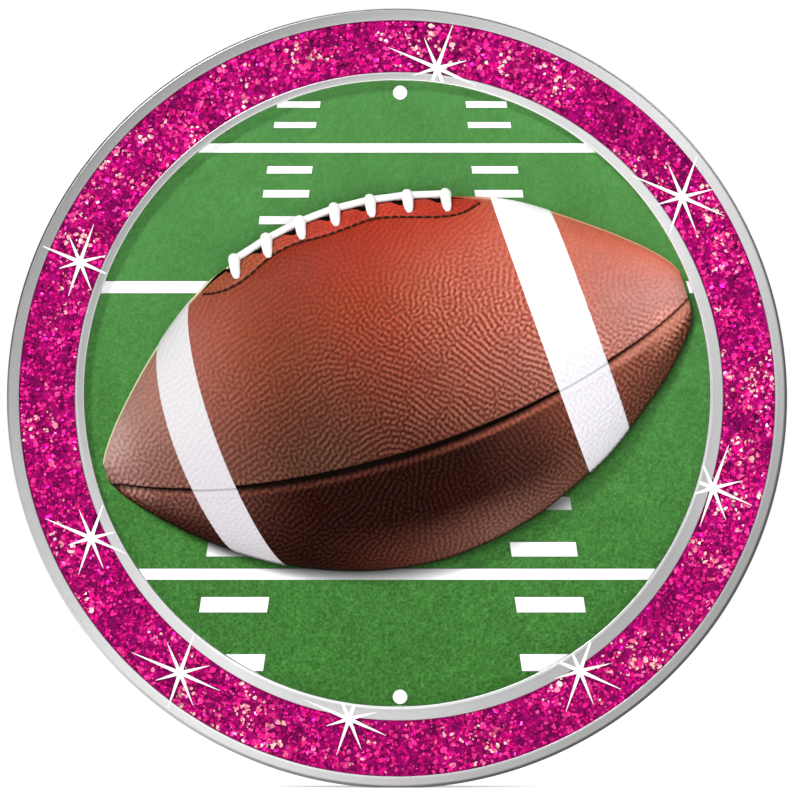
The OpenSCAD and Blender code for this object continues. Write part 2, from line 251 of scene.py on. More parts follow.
# ---------------------------------------------------------------------------
# Materials
# ---------------------------------------------------------------------------
class Mat:
    """A short way to write a node material."""

    def __init__(self, name):
        self.m = bpy.data.materials.new(name)
        self.m.use_nodes = True
        self.t = self.m.node_tree
        self.bsdf = self.t.nodes["Principled BSDF"]

    def node(self, kind, **sets):
        n = self.t.nodes.new(kind)
        for k, v in sets.items():
            if k.startswith("in_"):
                key = k[3:]
                key = int(key) if key.isdigit() else key.replace("_", " ")
                n.inputs[key].default_value = v
            else:
                setattr(n, k, v)
        return n

    def link(self, a, b):
        self.t.links.new(a, b)

    def set(self, **sets):
        for k, v in sets.items():
            self.bsdf.inputs[k.replace("_", " ")].default_value = v

    def coord(self):
        return self.node("ShaderNodeTexCoord").outputs["Object"]

    def noise(self, scale, detail=2.0, rough=0.5, vec=None, dist=0.0):
        n = self.node("ShaderNodeTexNoise")
        n.inputs["Scale"].default_value = scale
        n.inputs["Detail"].default_value = detail
        n.inputs["Roughness"].default_value = rough
        n.inputs["Distortion"].default_value = dist
        self.link(vec if vec is not None else self.coord(), n.inputs["Vector"])
        return n.outputs["Fac"]

    def ramp(self, fac, stops):
        r = self.node("ShaderNodeValToRGB")
        e = r.color_ramp.elements
        while len(e) < len(stops):
            e.new(0.5)
        for s, (pos, col) in zip(e, stops):
            s.position = pos
            s.color = (*col, 1) if len(col) == 3 else col
        self.link(fac, r.inputs["Fac"])
        return r.outputs["Color"]

    def span(self, fac, a, b, lo=0.0, hi=1.0):
        n = self.node("ShaderNodeMapRange")
        n.inputs["From Min"].default_value = lo
        n.inputs["From Max"].default_value = hi
        n.inputs["To Min"].default_value = a
        n.inputs["To Max"].default_value = b
        self.link(fac, n.inputs["Value"])
        return n.outputs["Result"]

    def times(self, a, b, kind="MULTIPLY", fac=1.0):
        n = self.node("ShaderNodeMix", data_type="RGBA", blend_type=kind)
        n.inputs["Factor"].default_value = fac
        self.link(a, n.inputs["A"])
        self.link(b, n.inputs["B"])
        return n.outputs["Result"]

    def maths(self, op, a, b=None):
        n = self.node("ShaderNodeMath", operation=op)
        for i, x in enumerate((a, b)):
            if x is None:
                continue
            if isinstance(x, (int, float)):
                n.inputs[i].default_value = x
            else:
                self.link(x, n.inputs[i])
        return n.outputs[0]

    def bump(self, height, strength, distance):
        n = self.node("ShaderNodeBump")
        n.inputs["Strength"].default_value = strength
        n.inputs["Distance"].default_value = distance
        self.link(height, n.inputs["Height"])
        self.link(n.outputs["Normal"], self.bsdf.inputs["Normal"])
        return n

    def base(self, colour):
        self.link(colour, self.bsdf.inputs["Base Color"])

    def rough(self, value):
        self.link(value, self.bsdf.inputs["Roughness"])

    def tone(self):
        n = self.node("ShaderNodeVertexColor")
        n.layer_name = "tone"
        return n.outputs["Color"]


def grey_map(m, fac, lo, hi):
    """A grey from lo to hi, as a colour."""
    return m.ramp(fac, [(0.0, (lo, lo, lo)), (1.0, (hi, hi, hi))])


def silver(name, levels, cx, cz, lip=False, painted_glints=()):
    """Circular brushed silver with painted reflection: its base colour goes lighter and darker round the ring, from
    the greys in levels at even steps round it; painted highlight lines along given radii and painted shade on the
    outer lip can be added.
    """
    m = Mat(name)
    xyz = m.node("ShaderNodeSeparateXYZ")
    m.link(m.coord(), xyz.inputs[0])
    x = m.maths("SUBTRACT", xyz.outputs["X"], cx * MM)
    z = m.maths("SUBTRACT", xyz.outputs["Z"], cz * MM)
    a = m.maths("ARCTAN2", z, x)
    turn = m.maths("FRACT", m.maths("ADD", m.maths("DIVIDE", a, 2 * math.pi), 1.0))
    n = len(levels)
    stops = [(i / n, (g, g, g * 1.005)) for i, g in enumerate(levels)]
    stops.append((1.0, (levels[0], levels[0], levels[0] * 1.005)))
    painted_sheen = m.ramp(turn, stops)
    r = m.maths("SQRT", m.maths("ADD", m.maths("MULTIPLY", x, x), m.maths("MULTIPLY", z, z)))
    # turned lines: fine in the radius, long round the ring
    line = m.node("ShaderNodeCombineXYZ")
    m.link(m.maths("MULTIPLY", r, 1.0), line.inputs["X"])
    m.link(m.maths("MULTIPLY", turn, 0.0009), line.inputs["Y"])
    m.link(m.maths("MULTIPLY", xyz.outputs["Y"], 1.0), line.inputs["Z"])
    fine = m.noise(26000, 3, 0.6, line.outputs[0])
    broad = m.noise(5200, 2, 0.5, line.outputs[0])
    spots = m.noise(900, 3, 0.55)
    # painted highlights: bright lines along given radii, strongest at given turns round the ring
    for r0, r1, gain, stops in painted_glints:
        k = m.maths("MULTIPLY", m.span(r, 0.0, 1.0, (r0 - 0.05) * MM, (r0 + 0.02) * MM),
                    m.span(r, 1.0, 0.0, (r1 - 0.02) * MM, (r1 + 0.05) * MM))
        if stops:
            k = m.maths("MULTIPLY", k, m.ramp(turn, [(i, (g, g, g)) for i, g in stops]))
        painted_sheen = m.times(painted_sheen, m.maths("ADD", m.maths("MULTIPLY", k, gain), 1.0))
    if lip:
        # painted shade: the rolled outer lip is painted dark on the side away from the lamps
        k = m.span(r, 0.0, 1.0, (EDGE_R - 0.26) * MM, (EDGE_R - 0.15) * MM)
        side = m.ramp(turn, [(i, (g, g, g)) for i, g in (
            (0.0, 0.85), (0.055, 0.45), (0.11, 0.0), (0.6, 0.0), (0.64, 0.45), (0.7, 0.85),
            (0.78, 1.0), (0.94, 1.0), (1.0, 0.85))])
        keep = m.maths("SUBTRACT", 1.0, m.maths("MULTIPLY", m.maths("MULTIPLY", k, side), 0.76))
        painted_sheen = m.times(painted_sheen, keep)
        # painted shade: the ring's turned outer side is painted a shade darker than its face, against the lamps'
        # reflection there
        k = m.span(r, 1.0, 0.7, (EDGE_R - 0.03) * MM, (EDGE_R - 0.005) * MM)
        painted_sheen = m.times(painted_sheen, k)
    c = m.times(painted_sheen, grey_map(m, fine, 0.93, 1.06))
    c = m.times(c, grey_map(m, spots, 0.97, 1.03))
    m.base(c)
    m.rough(m.span(m.maths("ADD", m.maths("MULTIPLY", broad, 0.5), m.maths("MULTIPLY", spots, 0.5)), 0.3, 0.42, 0.3, 0.7))
    tan = m.node("ShaderNodeTangent", direction_type="RADIAL", axis="Y")
    m.link(tan.outputs[0], m.bsdf.inputs["Tangent"])
    m.set(Metallic=1.0, Anisotropic=0.5)
    m.bump(fine, 0.06, 0.00003)
    return m.m


def painted(name, rgb, rough=0.55, grain=9000, spread=0.06, bump=0.1, depth=0.00003):
    m = Mat(name)
    a = m.noise(grain, 3, 0.6)
    b = m.noise(grain / 12, 3, 0.5)
    c = m.ramp(a, [(0.25, tuple(x * (1 - spread) for x in rgb)), (0.75, tuple(min(1, x * (1 + spread * 0.3)) for x in rgb))])
    c = m.times(c, grey_map(m, b, 1 - spread * 0.6, 1.0))
    m.base(c)
    m.rough(m.span(a, rough - 0.08, rough + 0.1, 0.3, 0.7))
    m.bump(a, bump, depth)
    return m


def toned(name, rough, grain, bump, depth, coat=0.0, spec=0.5, wobble=0.06, shine=False,
          grainy=None):
    """Takes its colour from the mesh, with fine variation on top. The mesh's amount attribute
    can drive how shiny it is (shine) or how strong the grain is (grainy)."""
    m = Mat(name)
    a = m.noise(grain, 3, 0.62)
    b = m.noise(grain / 9, 3, 0.5)
    if grainy:
        at = m.node("ShaderNodeAttribute", attribute_name="amount")
        g = m.maths("MULTIPLY", m.maths("SUBTRACT", a, 0.5), grainy)
        g = m.maths("ADD", m.maths("MULTIPLY", g, at.outputs["Fac"]), 1.0)
        c = m.times(m.tone(), g)
    else:
        c = m.times(m.tone(), grey_map(m, a, 1 - wobble, 1 + wobble))
    c = m.times(c, grey_map(m, b, 1 - wobble * 0.6, 1 + wobble * 0.6))
    m.base(c)
    m.rough(m.span(a, rough - 0.07, rough + 0.09, 0.3, 0.7))
    m.set(**{"Coat_Weight": coat, "Coat_Roughness": 0.3})
    if shine:
        at = m.node("ShaderNodeAttribute", attribute_name="amount")
        m.link(at.outputs["Fac"], m.bsdf.inputs["Specular IOR Level"])
    else:
        m.set(**{"Specular_IOR_Level": spec})
    m.bump(a, bump, depth)
    return m


# painted reflection: greys for the silver's base colour at even steps round each ring, lighter where the brushed
# metal would catch the lamps
OUTER_PAINTED_SHEEN = [0.365, 0.443, 0.528, 0.592, 0.545, 0.488, 0.424, 0.347, 0.317, 0.299, 0.296, 0.319,
               0.341, 0.395, 0.457, 0.611, 0.686, 0.612, 0.482, 0.381, 0.329, 0.303, 0.287, 0.305]
INNER_PAINTED_SHEEN = [0.422, 0.486, 0.578, 0.572, 0.561, 0.635, 0.478, 0.436, 0.402, 0.341, 0.341, 0.355,
               0.37, 0.429, 0.507, 0.589, 0.658, 0.542, 0.519, 0.435, 0.375, 0.338, 0.341, 0.419]
mat_outer = silver("silver_outer", OUTER_PAINTED_SHEEN, 0, 0, lip=True, painted_glints=[
    (24.66, 24.78, 0.3, [(0.0, 0.7), (0.04, 0.0), (0.62, 0.0), (0.7, 1.0), (0.95, 1.0), (1.0, 0.7)])])
mat_inner = silver("silver_inner", INNER_PAINTED_SHEEN, 0, 0.33, painted_glints=[
    (20.0, 20.44, 1.3, [(0.0, 0.6), (0.1, 0.8), (0.25, 1.0), (0.55, 0.9), (0.66, 0.25), (0.95, 0.25), (1.0, 0.6)]),
    (20.46, 20.6, 0.55, [(0.0, 0.35), (0.05, 0.0), (0.62, 0.0), (0.72, 1.0), (0.94, 1.0), (1.0, 0.35)]),
    (20.86, 20.97, 0.4, [(0.0, 0.0), (0.2, 0.0), (0.27, 1.0), (0.48, 1.0), (0.55, 0.0)])])
mat_leather = toned("ball_leather", 0.5, 9000, 0.25, 0.00003, shine=True).m
mat_leaf = toned("lace_leather", 0.5, 9000, 0.2, 0.00002, spec=0.2).m
mat_turf = toned("turf_pile", 0.9, 5200, 0.35, 0.00005, spec=0.05, wobble=0.05, grainy=1.0).m
mat_bed = toned("glitter_resin", 0.45, 6000, 0.3, 0.00005, spec=0.05).m
mat_flake = Mat("glitter_flake")
mat_flake.base(mat_flake.times(mat_flake.tone(), grey_map(mat_flake, mat_flake.noise(5000, 2), 0.9, 1.1)))
mat_flake.rough(mat_flake.span(mat_flake.noise(3000, 2), 0.26, 0.42, 0.3, 0.7))
mat_flake.set(Metallic=0.9)
mat_flake = mat_flake.m
mat_chalk = painted("field_chalk", (0.97, 0.97, 0.97), 0.7, 14000, 0.05, 0.35, 0.00004)


chalk = mat_chalk
mat_chalk = mat_chalk.m
mat_stripe = toned("stripe_paint", 0.5, 9000, 0.15, 0.00002, spec=0.3, wobble=0.02).m
mat_lace = painted("lace_vinyl", (0.985, 0.98, 0.975), 0.5, 7000, 0.03, 0.2, 0.00003).m
mat_thread = painted("stitch_thread", (0.03, 0.02, 0.012), 0.8, 16000, 0.5, 0.5, 0.00004)
mat_thread.set(Specular_IOR_Level=0.1)
mat_thread = mat_thread.m
mat_black = painted("seam_dark", (0.004, 0.002, 0.001), 0.85, 12000, 0.4, 0.3, 0.00003)
mat_black.set(Specular_IOR_Level=0.04)
mat_black = mat_black.m
mat_seam = toned("seam_thread", 0.85, 12000, 0.3, 0.00003, spec=0.04, wobble=0.3).m
# white foil for the star-shaped painted glints
mat_glint_foil = painted("sparkle_foil", (0.95, 0.95, 0.96), 0.3, 9000, 0.03, 0.08, 0.00002)
mat_glint_foil.set(Metallic=0.0, Coat_Weight=0.6, Coat_Roughness=0.15)
mat_glint_foil = mat_glint_foil.m
mat_core = painted("core_resin", (0.12, 0.04, 0.025), 0.6, 6000, 0.15, 0.2, 0.00004).m
mat_plate = Mat("back_metal")
_v = mat_plate.node("ShaderNodeMapping")
_v.inputs["Scale"].default_value = (0.03, 1, 1)
mat_plate.link(mat_plate.coord(), _v.inputs["Vector"])
_n = mat_plate.noise(15000, 3, 0.6, _v.outputs[0])
mat_plate.base(mat_plate.ramp(_n, [(0.2, (0.5, 0.51, 0.53)), (0.8, (0.66, 0.67, 0.68))]))
mat_plate.rough(mat_plate.span(mat_plate.noise(1200, 3), 0.28, 0.42, 0.3, 0.7))
mat_plate.set(Metallic=1.0)
mat_plate.bump(_n, 0.08, 0.00003)
mat_plate = mat_plate.m
mat_foam = Mat("pad_foam")
_v = mat_foam.node("ShaderNodeTexVoronoi", in_Scale=3400.0)
mat_foam.link(mat_foam.coord(), _v.inputs["Vector"])
_n = mat_foam.noise(700, 4, 0.6)
mat_foam.base(mat_foam.times(
    mat_foam.ramp(_v.outputs["Distance"], [(0.0, (0.55, 0.54, 0.5)), (0.45, (0.8, 0.79, 0.75))]),
    grey_map(mat_foam, _n, 0.93, 1.0)))
mat_foam.rough(mat_foam.span(_n, 0.7, 0.9, 0.3, 0.7))
mat_foam.bump(_v.outputs["Distance"], 0.4, 0.00012)
mat_foam = mat_foam.m
mat_liner = painted("liner_paper", (0.82, 0.8, 0.74), 0.4, 5000, 0.06, 0.15, 0.00003)
mat_liner.set(Coat_Weight=0.25, Coat_Roughness=0.25)
mat_liner = mat_liner.m


# ---------------------------------------------------------------------------
# Rims, plate and pad
# ---------------------------------------------------------------------------
def arc(cx, cz, r, a0, a1, n):
    t = np.radians(np.linspace(a0, a1, n))
    return np.stack([cx + r * np.cos(t), cz + r * np.sin(t)], 1)


def lathe(name, profile, n, **kw):
    p = np.asarray(profile, float)
    t = np.linspace(0, 2 * np.pi, n, endpoint=False)
    v = np.stack([np.cos(t)[:, None] * p[:, 0], np.sin(t)[:, None] * p[:, 0],
                  np.broadcast_to(p[:, 1], (n, len(p)))], -1).reshape(-1, 3)
    return make(name, v, quads=ring_grid(n, len(p)), **kw)


outer_profile = np.concatenate([
    [[25.0, 0.8]], arc(EDGE_R - 0.08, 0.88, 0.08, -90, 0, 5),
    [[EDGE_R, 1.6], [EDGE_R, 2.4]],
    arc(EDGE_R - RIM_CH, RIM_TOP - RIM_CH, RIM_CH, 0, 90, 9),
    [[DISC_R - 0.35, RIM_TOP], [DISC_R - 0.5, RIM_TOP]],
    arc(RIM_IN + 0.07, RIM_TOP - 0.07, 0.07, 90, 180, 6),
    [[RIM_IN, 2.6], [RIM_IN, PLATE_TOP], [25.0, PLATE_TOP]],
])
lathe("outer_rim", outer_profile, 512, mats=[mat_outer], sharp=35, slot="silver",
      replaces=["outer_bezel"])


def two_circle_ring(name, c_out, r_out, c_in, r_in, z0, z1, edge, n, **kw):
    """A ring between two circles that aren't quite concentric, with rounded front edges."""
    t = np.linspace(0, 2 * np.pi, n, endpoint=False)
    out = np.stack([c_out[0] + r_out * np.cos(t), c_out[1] + r_out * np.sin(t)], 1)
    inn = np.stack([c_in[0] + r_in * np.cos(t), c_in[1] + r_in * np.sin(t)], 1)
    w = np.linalg.norm(out - inn, axis=1)
    a = np.radians(np.linspace(0, 90, 6))
    sect = [(0.0, z0)] + [(edge * (1 - math.cos(x)), z1 - edge * (1 - math.sin(x))) for x in a]
    rows = [(o, z, "out") for o, z in sect] + [(o, z, "in") for o, z in sect[::-1]]
    cols = []
    for o, z, side in rows:
        u = (o / w)[:, None]
        p = out + (inn - out) * u if side == "out" else inn + (out - inn) * u
        cols.append(np.concatenate([p, np.full((n, 1), z)], 1))
    v = np.stack(cols, 1).reshape(-1, 3)
    return make(name, v, quads=ring_grid(n, len(rows)), **kw)


two_circle_ring("inner_rim", RING_C, GLIT_IN, (0, FIELD_DY), FIELD_R - 0.04, PLATE_TOP, RIM_TOP, 0.09,
                480, mats=[mat_inner], sharp=35, slot="silver", replaces=["inner_ring"])

plate_profile = np.concatenate([
    [[0.001, PLATE_TOP]], [[12, PLATE_TOP]],
    arc(25.0 - 0.1, PLATE_TOP - 0.1, 0.1, 90, 0, 5), arc(25.0 - 0.1, PAD_T + 0.1, 0.1, 0, -90, 5),
    [[22.0, PAD_T]], [[12, PAD_T]], [[0.001, PAD_T]],
])
lathe("back_disc", plate_profile, 256, mats=[mat_plate], sharp=35, slot="plate",
      replaces=["back_plate"])

# foam with a slightly pulled-in edge, and the peel-off paper on it in two halves
pad_r = 22.0
pad_profile = np.concatenate([
    [[0.001, PAD_T]], [[15, PAD_T]], arc(pad_r - 0.07, PAD_T - 0.07, 0.07, 90, 0, 4),
    [[pad_r - 0.05, 0.55], [pad_r - 0.06, 0.4], [pad_r - 0.05, 0.26]],
    [[pad_r - 0.02, 0.12], [pad_r - 0.05, 0.09]], [[15, 0.09]], [[0.001, 0.09]],
])
lathe("foam_pad", pad_profile, 256, mats=[mat_foam], sharp=40, slot="foam",
      replaces=["adhesive_pad"])


def liner_half(name, side):
    """Half of the release paper, cut on a gentle wave."""
    n = 90
    cut_y = np.linspace(-pad_r + 0.1, pad_r - 0.1, n)
    wave = 0.6 * np.sin(cut_y * 0.45) + side * 0.06
    keep = np.abs(wave) < np.sqrt(np.maximum(0, (pad_r - 0.02) ** 2 - cut_y ** 2))
    cut_y, wave = cut_y[keep], wave[keep]
    a0 = math.atan2(cut_y[-1], wave[-1])
    a1 = math.atan2(cut_y[0], wave[0])
    if side < 0:
        a1 += 2 * math.pi
    else:
        a0, a1 = a0, a1
    t = np.linspace(a0, a1, 140)[1:-1]
    rim = np.stack([np.cos(t), np.sin(t)], 1) * (pad_r - 0.02)
    loop = np.concatenate([np.stack([wave, cut_y], 1), rim])
    m = len(loop)
    centre = loop.mean(0)
    inner = centre + (loop - centre) * 0.985
    v = np.concatenate([
        np.concatenate([loop, np.full((m, 1), 0.09)], 1),
        np.concatenate([loop, np.full((m, 1), 0.02)], 1),
        np.concatenate([inner, np.full((m, 1), 0.0)], 1)])
    i = np.arange(m)
    j = (i + 1) % m
    quads = np.concatenate([np.stack([i, j, j + m, i + m], 1),
                            np.stack([i + m, j + m, j + 2 * m, i + 2 * m], 1)])
    area = np.sum(loop[:, 0] * np.roll(loop[:, 1], -1) - np.roll(loop[:, 0], -1) * loop[:, 1])
    top, bottom = i[::-1], i + 2 * m
    if area < 0:
        quads = quads[:, ::-1]
        top, bottom = top[::-1], bottom[::-1]
    # the paper's outward side looks away from the disc, so the winding is turned over
    make(name, v, quads=quads[:, ::-1], ngons=[top[::-1], bottom[::-1]], mats=[mat_liner], sharp=30,
         slot="foam")


liner_half("release_paper_left", -1)
liner_half("release_paper_right", 1)

# ---------------------------------------------------------------------------
# Glitter ring: a resin bed and thousands of loose flakes set in it
# ---------------------------------------------------------------------------
BED_TOP = GLIT_TOP - 0.1


def glitter_bed():
    n, m = 620, 18
    t = np.linspace(0, 2 * np.pi, n, endpoint=False)
    out = np.stack([RIM_IN * np.cos(t), RIM_IN * np.sin(t)], 1)
    inn = np.stack([RING_C[0] + GLIT_IN * np.cos(t), RING_C[1] + GLIT_IN * np.sin(t)], 1)
    u = np.linspace(0, 1, m)
    top = out[:, None] + (inn - out)[:, None] * u[None, :, None]
    flat = top.reshape(-1, 2)
    f1, f2, own = cells(flat, 0.45, 70)
    z = BED_TOP - 0.05 + 0.07 * own + 0.03 * smooth_noise(flat, 1.3, 5)
    z = z.reshape(n, m)
    # the resin creeps up a little where it meets the two rims
    z += 0.05 * (np.exp(-((u * 3.5) / 0.12) ** 2) + np.exp(-(((1 - u) * 3.5) / 0.12) ** 2))
    top3 = np.concatenate([top, z[..., None]], -1)
    low_in = np.concatenate([inn, np.full((n, 1), PLATE_TOP)], 1)[:, None]
    low_out = np.concatenate([out, np.full((n, 1), PLATE_TOP)], 1)[:, None]
    v = np.concatenate([low_out, top3, low_in], 1)
    k = v.shape[1]
    tone = mix(linc(112, 0, 74)[None, :], linc(168, 0, 108)[None, :], own.reshape(n, m).ravel())
    col = np.zeros((n, k, 3))
    col[:, 1:-1] = tone.reshape(n, m, 3)
    col[:, 0] = col[:, -1] = linc(120, 0, 72)
    make("glitter_bed", v.reshape(-1, 3), quads=ring_grid(n, k), mats=[mat_bed], sharp=40,
         colour=col.reshape(-1, 3), slot="glitter", replaces=["glitter_ring"])


glitter_bed()

FLAKES = [  # share, colour from, colour to
    (0.24, linc(98, 0, 66), linc(140, 0, 92)),
    (0.42, linc(172, 0, 104), linc(212, 8, 120)),
    (0.225, linc(222, 20, 128), linc(246, 58, 146)),
    (0.05, linc(214, 44, 138), linc(236, 84, 158)),
    (0.05, linc(255, 92, 140), linc(255, 140, 164)),
    (0.015, linc(255, 176, 176), linc(255, 206, 200)),
]


def glitter_flakes():
    n = 16000
    r0, r1 = GLIT_IN, RIM_IN
    rad = np.sqrt(rng.uniform(0, 1, n) * (r1 ** 2 - r0 ** 2) + r0 ** 2)
    ang = rng.uniform(0, 2 * np.pi, n)
    size = np.clip(rng.lognormal(math.log(0.138), 0.32, n), 0.07, 0.27)
    # slide each flake so that it stays between the two rims
    cx = RING_C[0] * (r1 - rad) / (r1 - r0)
    cy = RING_C[1] * (r1 - rad) / (r1 - r0)
    lo, hi = r0 + size * 0.9, r1 - size * 0.9
    rad = np.clip(rad, lo, hi)
    c = np.stack([cx + rad * np.cos(ang), cy + rad * np.sin(ang)], 1)
    tilt = np.radians(np.clip(np.abs(rng.normal(0, 17, n)), 0, 38))
    head = rng.uniform(0, 2 * np.pi, n)
    spin = rng.uniform(0, 2 * np.pi, n)
    nz = np.stack([np.sin(tilt) * np.cos(head), np.sin(tilt) * np.sin(head), np.cos(tilt)], 1)
    ref = np.stack([np.cos(spin), np.sin(spin), np.zeros(n)], 1)
    ax = np.cross(nz, ref)
    ax /= np.linalg.norm(ax, axis=1)[:, None]
    ay = np.cross(nz, ax)
    lift = rng.uniform(0.0, 0.1, n)
    z = np.minimum(BED_TOP + 0.02 + lift, RIM_TOP - 0.03 - size * np.sin(tilt))
    centre = np.concatenate([c, z[:, None]], 1)
    k = np.arange(6) * np.pi / 3
    squeeze = rng.uniform(0.6, 1.0, n)
    chip = rng.uniform(0.62, 1.08, (n, 6))     # crumbled corners
    corner = (np.cos(k)[None, :, None] * ax[:, None] + (np.sin(k)[None, :, None] * ay[:, None]) * squeeze[:, None, None])
    hexa = centre[:, None] + corner * (chip * size[:, None])[..., None]
    apex = centre + nz * (0.05 * size)[:, None]
    v = np.concatenate([hexa, apex[:, None]], 1)          # 7 points a flake
    base = 7 * np.arange(n)[:, None]
    sides = np.stack([np.arange(6), (np.arange(6) + 1) % 6, np.full(6, 6)], 1)
    under = np.array([[0, 2, 1], [0, 3, 2], [0, 4, 3], [0, 5, 4]])
    one = np.concatenate([sides, under])
    # corners run against the clock seen from outside when ax, ay and nz are right handed
    tris = (base[:, :, None] + one[None]).reshape(-1, 3)
    # pale and dark flakes gather in loose patches
    lump = 0.6 * smooth_noise(c, 1.7, 31) + 0.4 * smooth_noise(c, 0.7, 32)
    pick = np.clip(rng.uniform(0, 1, n) + 0.7 * (lump - 0.53), 0, 0.9999)
    col = np.zeros((n, 3))
    at = 0.0
    for share, a, b in FLAKES:
        inside = (pick >= at) & (pick < at + share + 1e-9)
        u = rng.uniform(0, 1, n)[:, None]
        col[inside] = (a + (b - a) * u)[inside]
        at += share
    # clumps of lighter and darker flakes, as in poured glitter
    clump = 0.75 + 0.6 * smooth_noise(c, 1.1, 33)
    col = np.clip(col * clump[:, None], 0, 1)
    make("glitter_flakes", v.reshape(-1, 3), tris=tris, mats=[mat_flake], smooth=False,
         colour=np.repeat(col, 7, 0), slot="glitter")


glitter_flakes()


# ---------------------------------------------------------------------------
# Sparkle stars: creased white foil in the shape of star glints, lying over glitter and rims; painted glints
# ---------------------------------------------------------------------------
STARS = [[2.61, 21.54, 1.02], [18.59, 13.13, 1.08], [-20.67, 8.89, 0.88],
         [20.61, -5.85, 1], [-19.95, -9.11, 0.95], [-14.15, -17.91, 1.02],
         [11.93, -17.78, 1.05], [-3.13, -20.91, 0.95]]
RAYS = [[14, 0.58], [70, 0.88], [113, 0.62], [157, 1],
        [197, 0.48], [251, 0.78], [292, 0.66], [336, 0.82]]
RAY_LEN = 3.4


def painted_glint_stars():
    verts, tris, quads = [], [], []
    at = 0
    for sx, sy, s in STARS:
        for deg, share in RAYS:
            a = math.radians(deg)
            d = np.array([math.cos(a), math.sin(a)])
            w = np.array([-d[1], d[0]])
            n = 26
            length = RAY_LEN * share * s
            t = np.linspace(0, 1, n) * length
            p = np.array([sx, sy]) + t[:, None] * d
            # stop the ray at the disc's edge and where the field's recess begins
            ok = (np.hypot(p[:, 0], p[:, 1]) < DISC_R - 0.25) & (
                np.hypot(p[:, 0], p[:, 1] - FIELD_DY) > FIELD_R + 0.05)
            if not ok.all():
                last = max(2, int(np.argmin(ok)) - 1)
                t = np.linspace(0, t[last], n)
                p = np.array([sx, sy]) + t[:, None] * d
            half = 0.125 * (1 - t / length) ** 0.9 + 0.012
            half[0] = 0.14
            z = RIM_TOP + 0.006 + 0 * t
            ridge = z + 0.012 + 0.1 * half
            left = np.concatenate([p + w * half[:, None], z[:, None]], 1)
            right = np.concatenate([p - w * half[:, None], z[:, None]], 1)
            mid = np.concatenate([p, ridge[:, None]], 1)
            v = np.stack([right, mid, left], 1).reshape(-1, 3)
            verts.append(v)
            for i in range(n - 1):
                b = at + 3 * i
                quads += [[b, b + 3, b + 4, b + 1], [b + 1, b + 4, b + 5, b + 2],
                          [b + 2, b + 5, b + 3, b]]
            e = at + 3 * (n - 1)
            tris += [[at, at + 1, at + 2], [e, e + 2, e + 1]]
            at += 3 * n
        # domed centre
        m, rings = 24, 5
        r0 = 0.3 * (0.9 + 0.1 * s)
        base = at
        for k in range(rings):
            f = k / rings
            rr = r0 * math.cos(f * math.pi / 2)
            zz = RIM_TOP + 0.004 + 0.032 * math.sin(f * math.pi / 2)
            th = np.linspace(0, 2 * np.pi, m, endpoint=False)
            verts.append(np.stack([sx + rr * np.cos(th), sy + rr * np.sin(th), np.full(m, zz)], 1))
            if k:
                for j in range(m):
                    q = (j + 1) % m
                    quads.append([base + (k - 1) * m + j, base + (k - 1) * m + q, base + k * m + q, base + k * m + j])
        verts.append(np.array([[sx, sy, RIM_TOP + 0.036], [sx, sy, RIM_TOP + 0.004]]))
        tip = base + rings * m
        for j in range(m):
            q = (j + 1) % m
            tris.append([base + (rings - 1) * m + j, base + (rings - 1) * m + q, tip])
            tris.append([base + q, base + j, tip + 1])
        at = tip + 2
    make("painted_glint_stars", np.concatenate(verts), quads=quads, tris=tris, mats=[mat_glint_foil],
         smooth=False, slot="foil", replaces=["sparkle_stars"])


painted_glint_stars()


# ---------------------------------------------------------------------------
# The ball
# ---------------------------------------------------------------------------
def half_w(s):
    s = np.asarray(s, float)
    u = np.where(s < BALL_W, (BALL_W - s) / BALL_L, (s - BALL_W) / BALL_RT)
    return BALL_R * (1 - np.minimum(u * u, 0.9999)) ** BALL_Q


def fair(s, table):
    """The table read at s, with its corners rounded a little."""
    return sum(np.interp(s + o, table[:, 0], table[:, 1]) for o in (-0.5, -0.25, 0, 0.25, 0.5)) / 5


def bow(g):
    return 0.107 - 0.0078 * g


def ring_s(g, f):
    s = g - bow(g) * half_w(g) * np.sin(f) + LEAN * half_w(g) * np.cos(f)
    s = np.where((g <= TIP_L) | (g >= TIP_R), g, s)
    return np.clip(s, TIP_L, TIP_R)


def at_axis(s, f, h):
    """Angles in radians here: 0 below, pi/2 front, pi above."""
    r = half_w(s)
    k = r * BALL_H / BALL_R
    d = np.where(h < 0, h * np.minimum(1, 0.55 * k / LEATHER_T), h)
    e = np.where(np.cos(f) < 0, fair(s, TOP_FIX), fair(s, LOW_FIX))
    t = -(r + e + d) * np.cos(f)
    z = FIELD_TOP + (k + d) * np.sin(f)
    return np.stack([BALL_X + s * math.cos(TILT) - t * math.sin(TILT),
                     BALL_Y + s * math.sin(TILT) + t * math.cos(TILT), z], -1)


def seam_f(g):
    bias = np.where(g < 0, 0.03 * g, 0.0007 * g * g)
    return np.arccos(np.clip(0.395 - bias / half_w(g), -0.9, 0.9))


def leaf_f(s):
    a = sum(np.interp(s + o, LEAF[:, 0], LEAF[:, 1]) for o in (-0.3, -0.15, 0, 0.15, 0.3)) / 5
    return np.radians(a)


def leaf_top(s):
    return np.radians(165 + 2 * np.minimum(1, np.minimum((s - STRIP_FROM) / 2, (STRIP_TO - s) / 2)))


def even(fn, a, b, n, fine=4000):
    """n+1 values from a to b, evenly spaced along the curve whose speed is fn."""
    x = np.linspace(a, b, fine)
    w = fn(x)
    c = np.concatenate([[0], np.cumsum((w[1:] + w[:-1]) / 2)])
    return np.interp(np.linspace(0, c[-1], n + 1), c, x)


def axis_speed(s):
    e = 1e-3
    return np.sqrt(1 + np.minimum(((half_w(s + e) - half_w(s - e)) / (2 * e)) ** 2, 9))


def angle_speed(f):
    return np.sqrt(np.sin(f) ** 2 + (BALL_H / BALL_R) ** 2 * np.cos(f) ** 2)


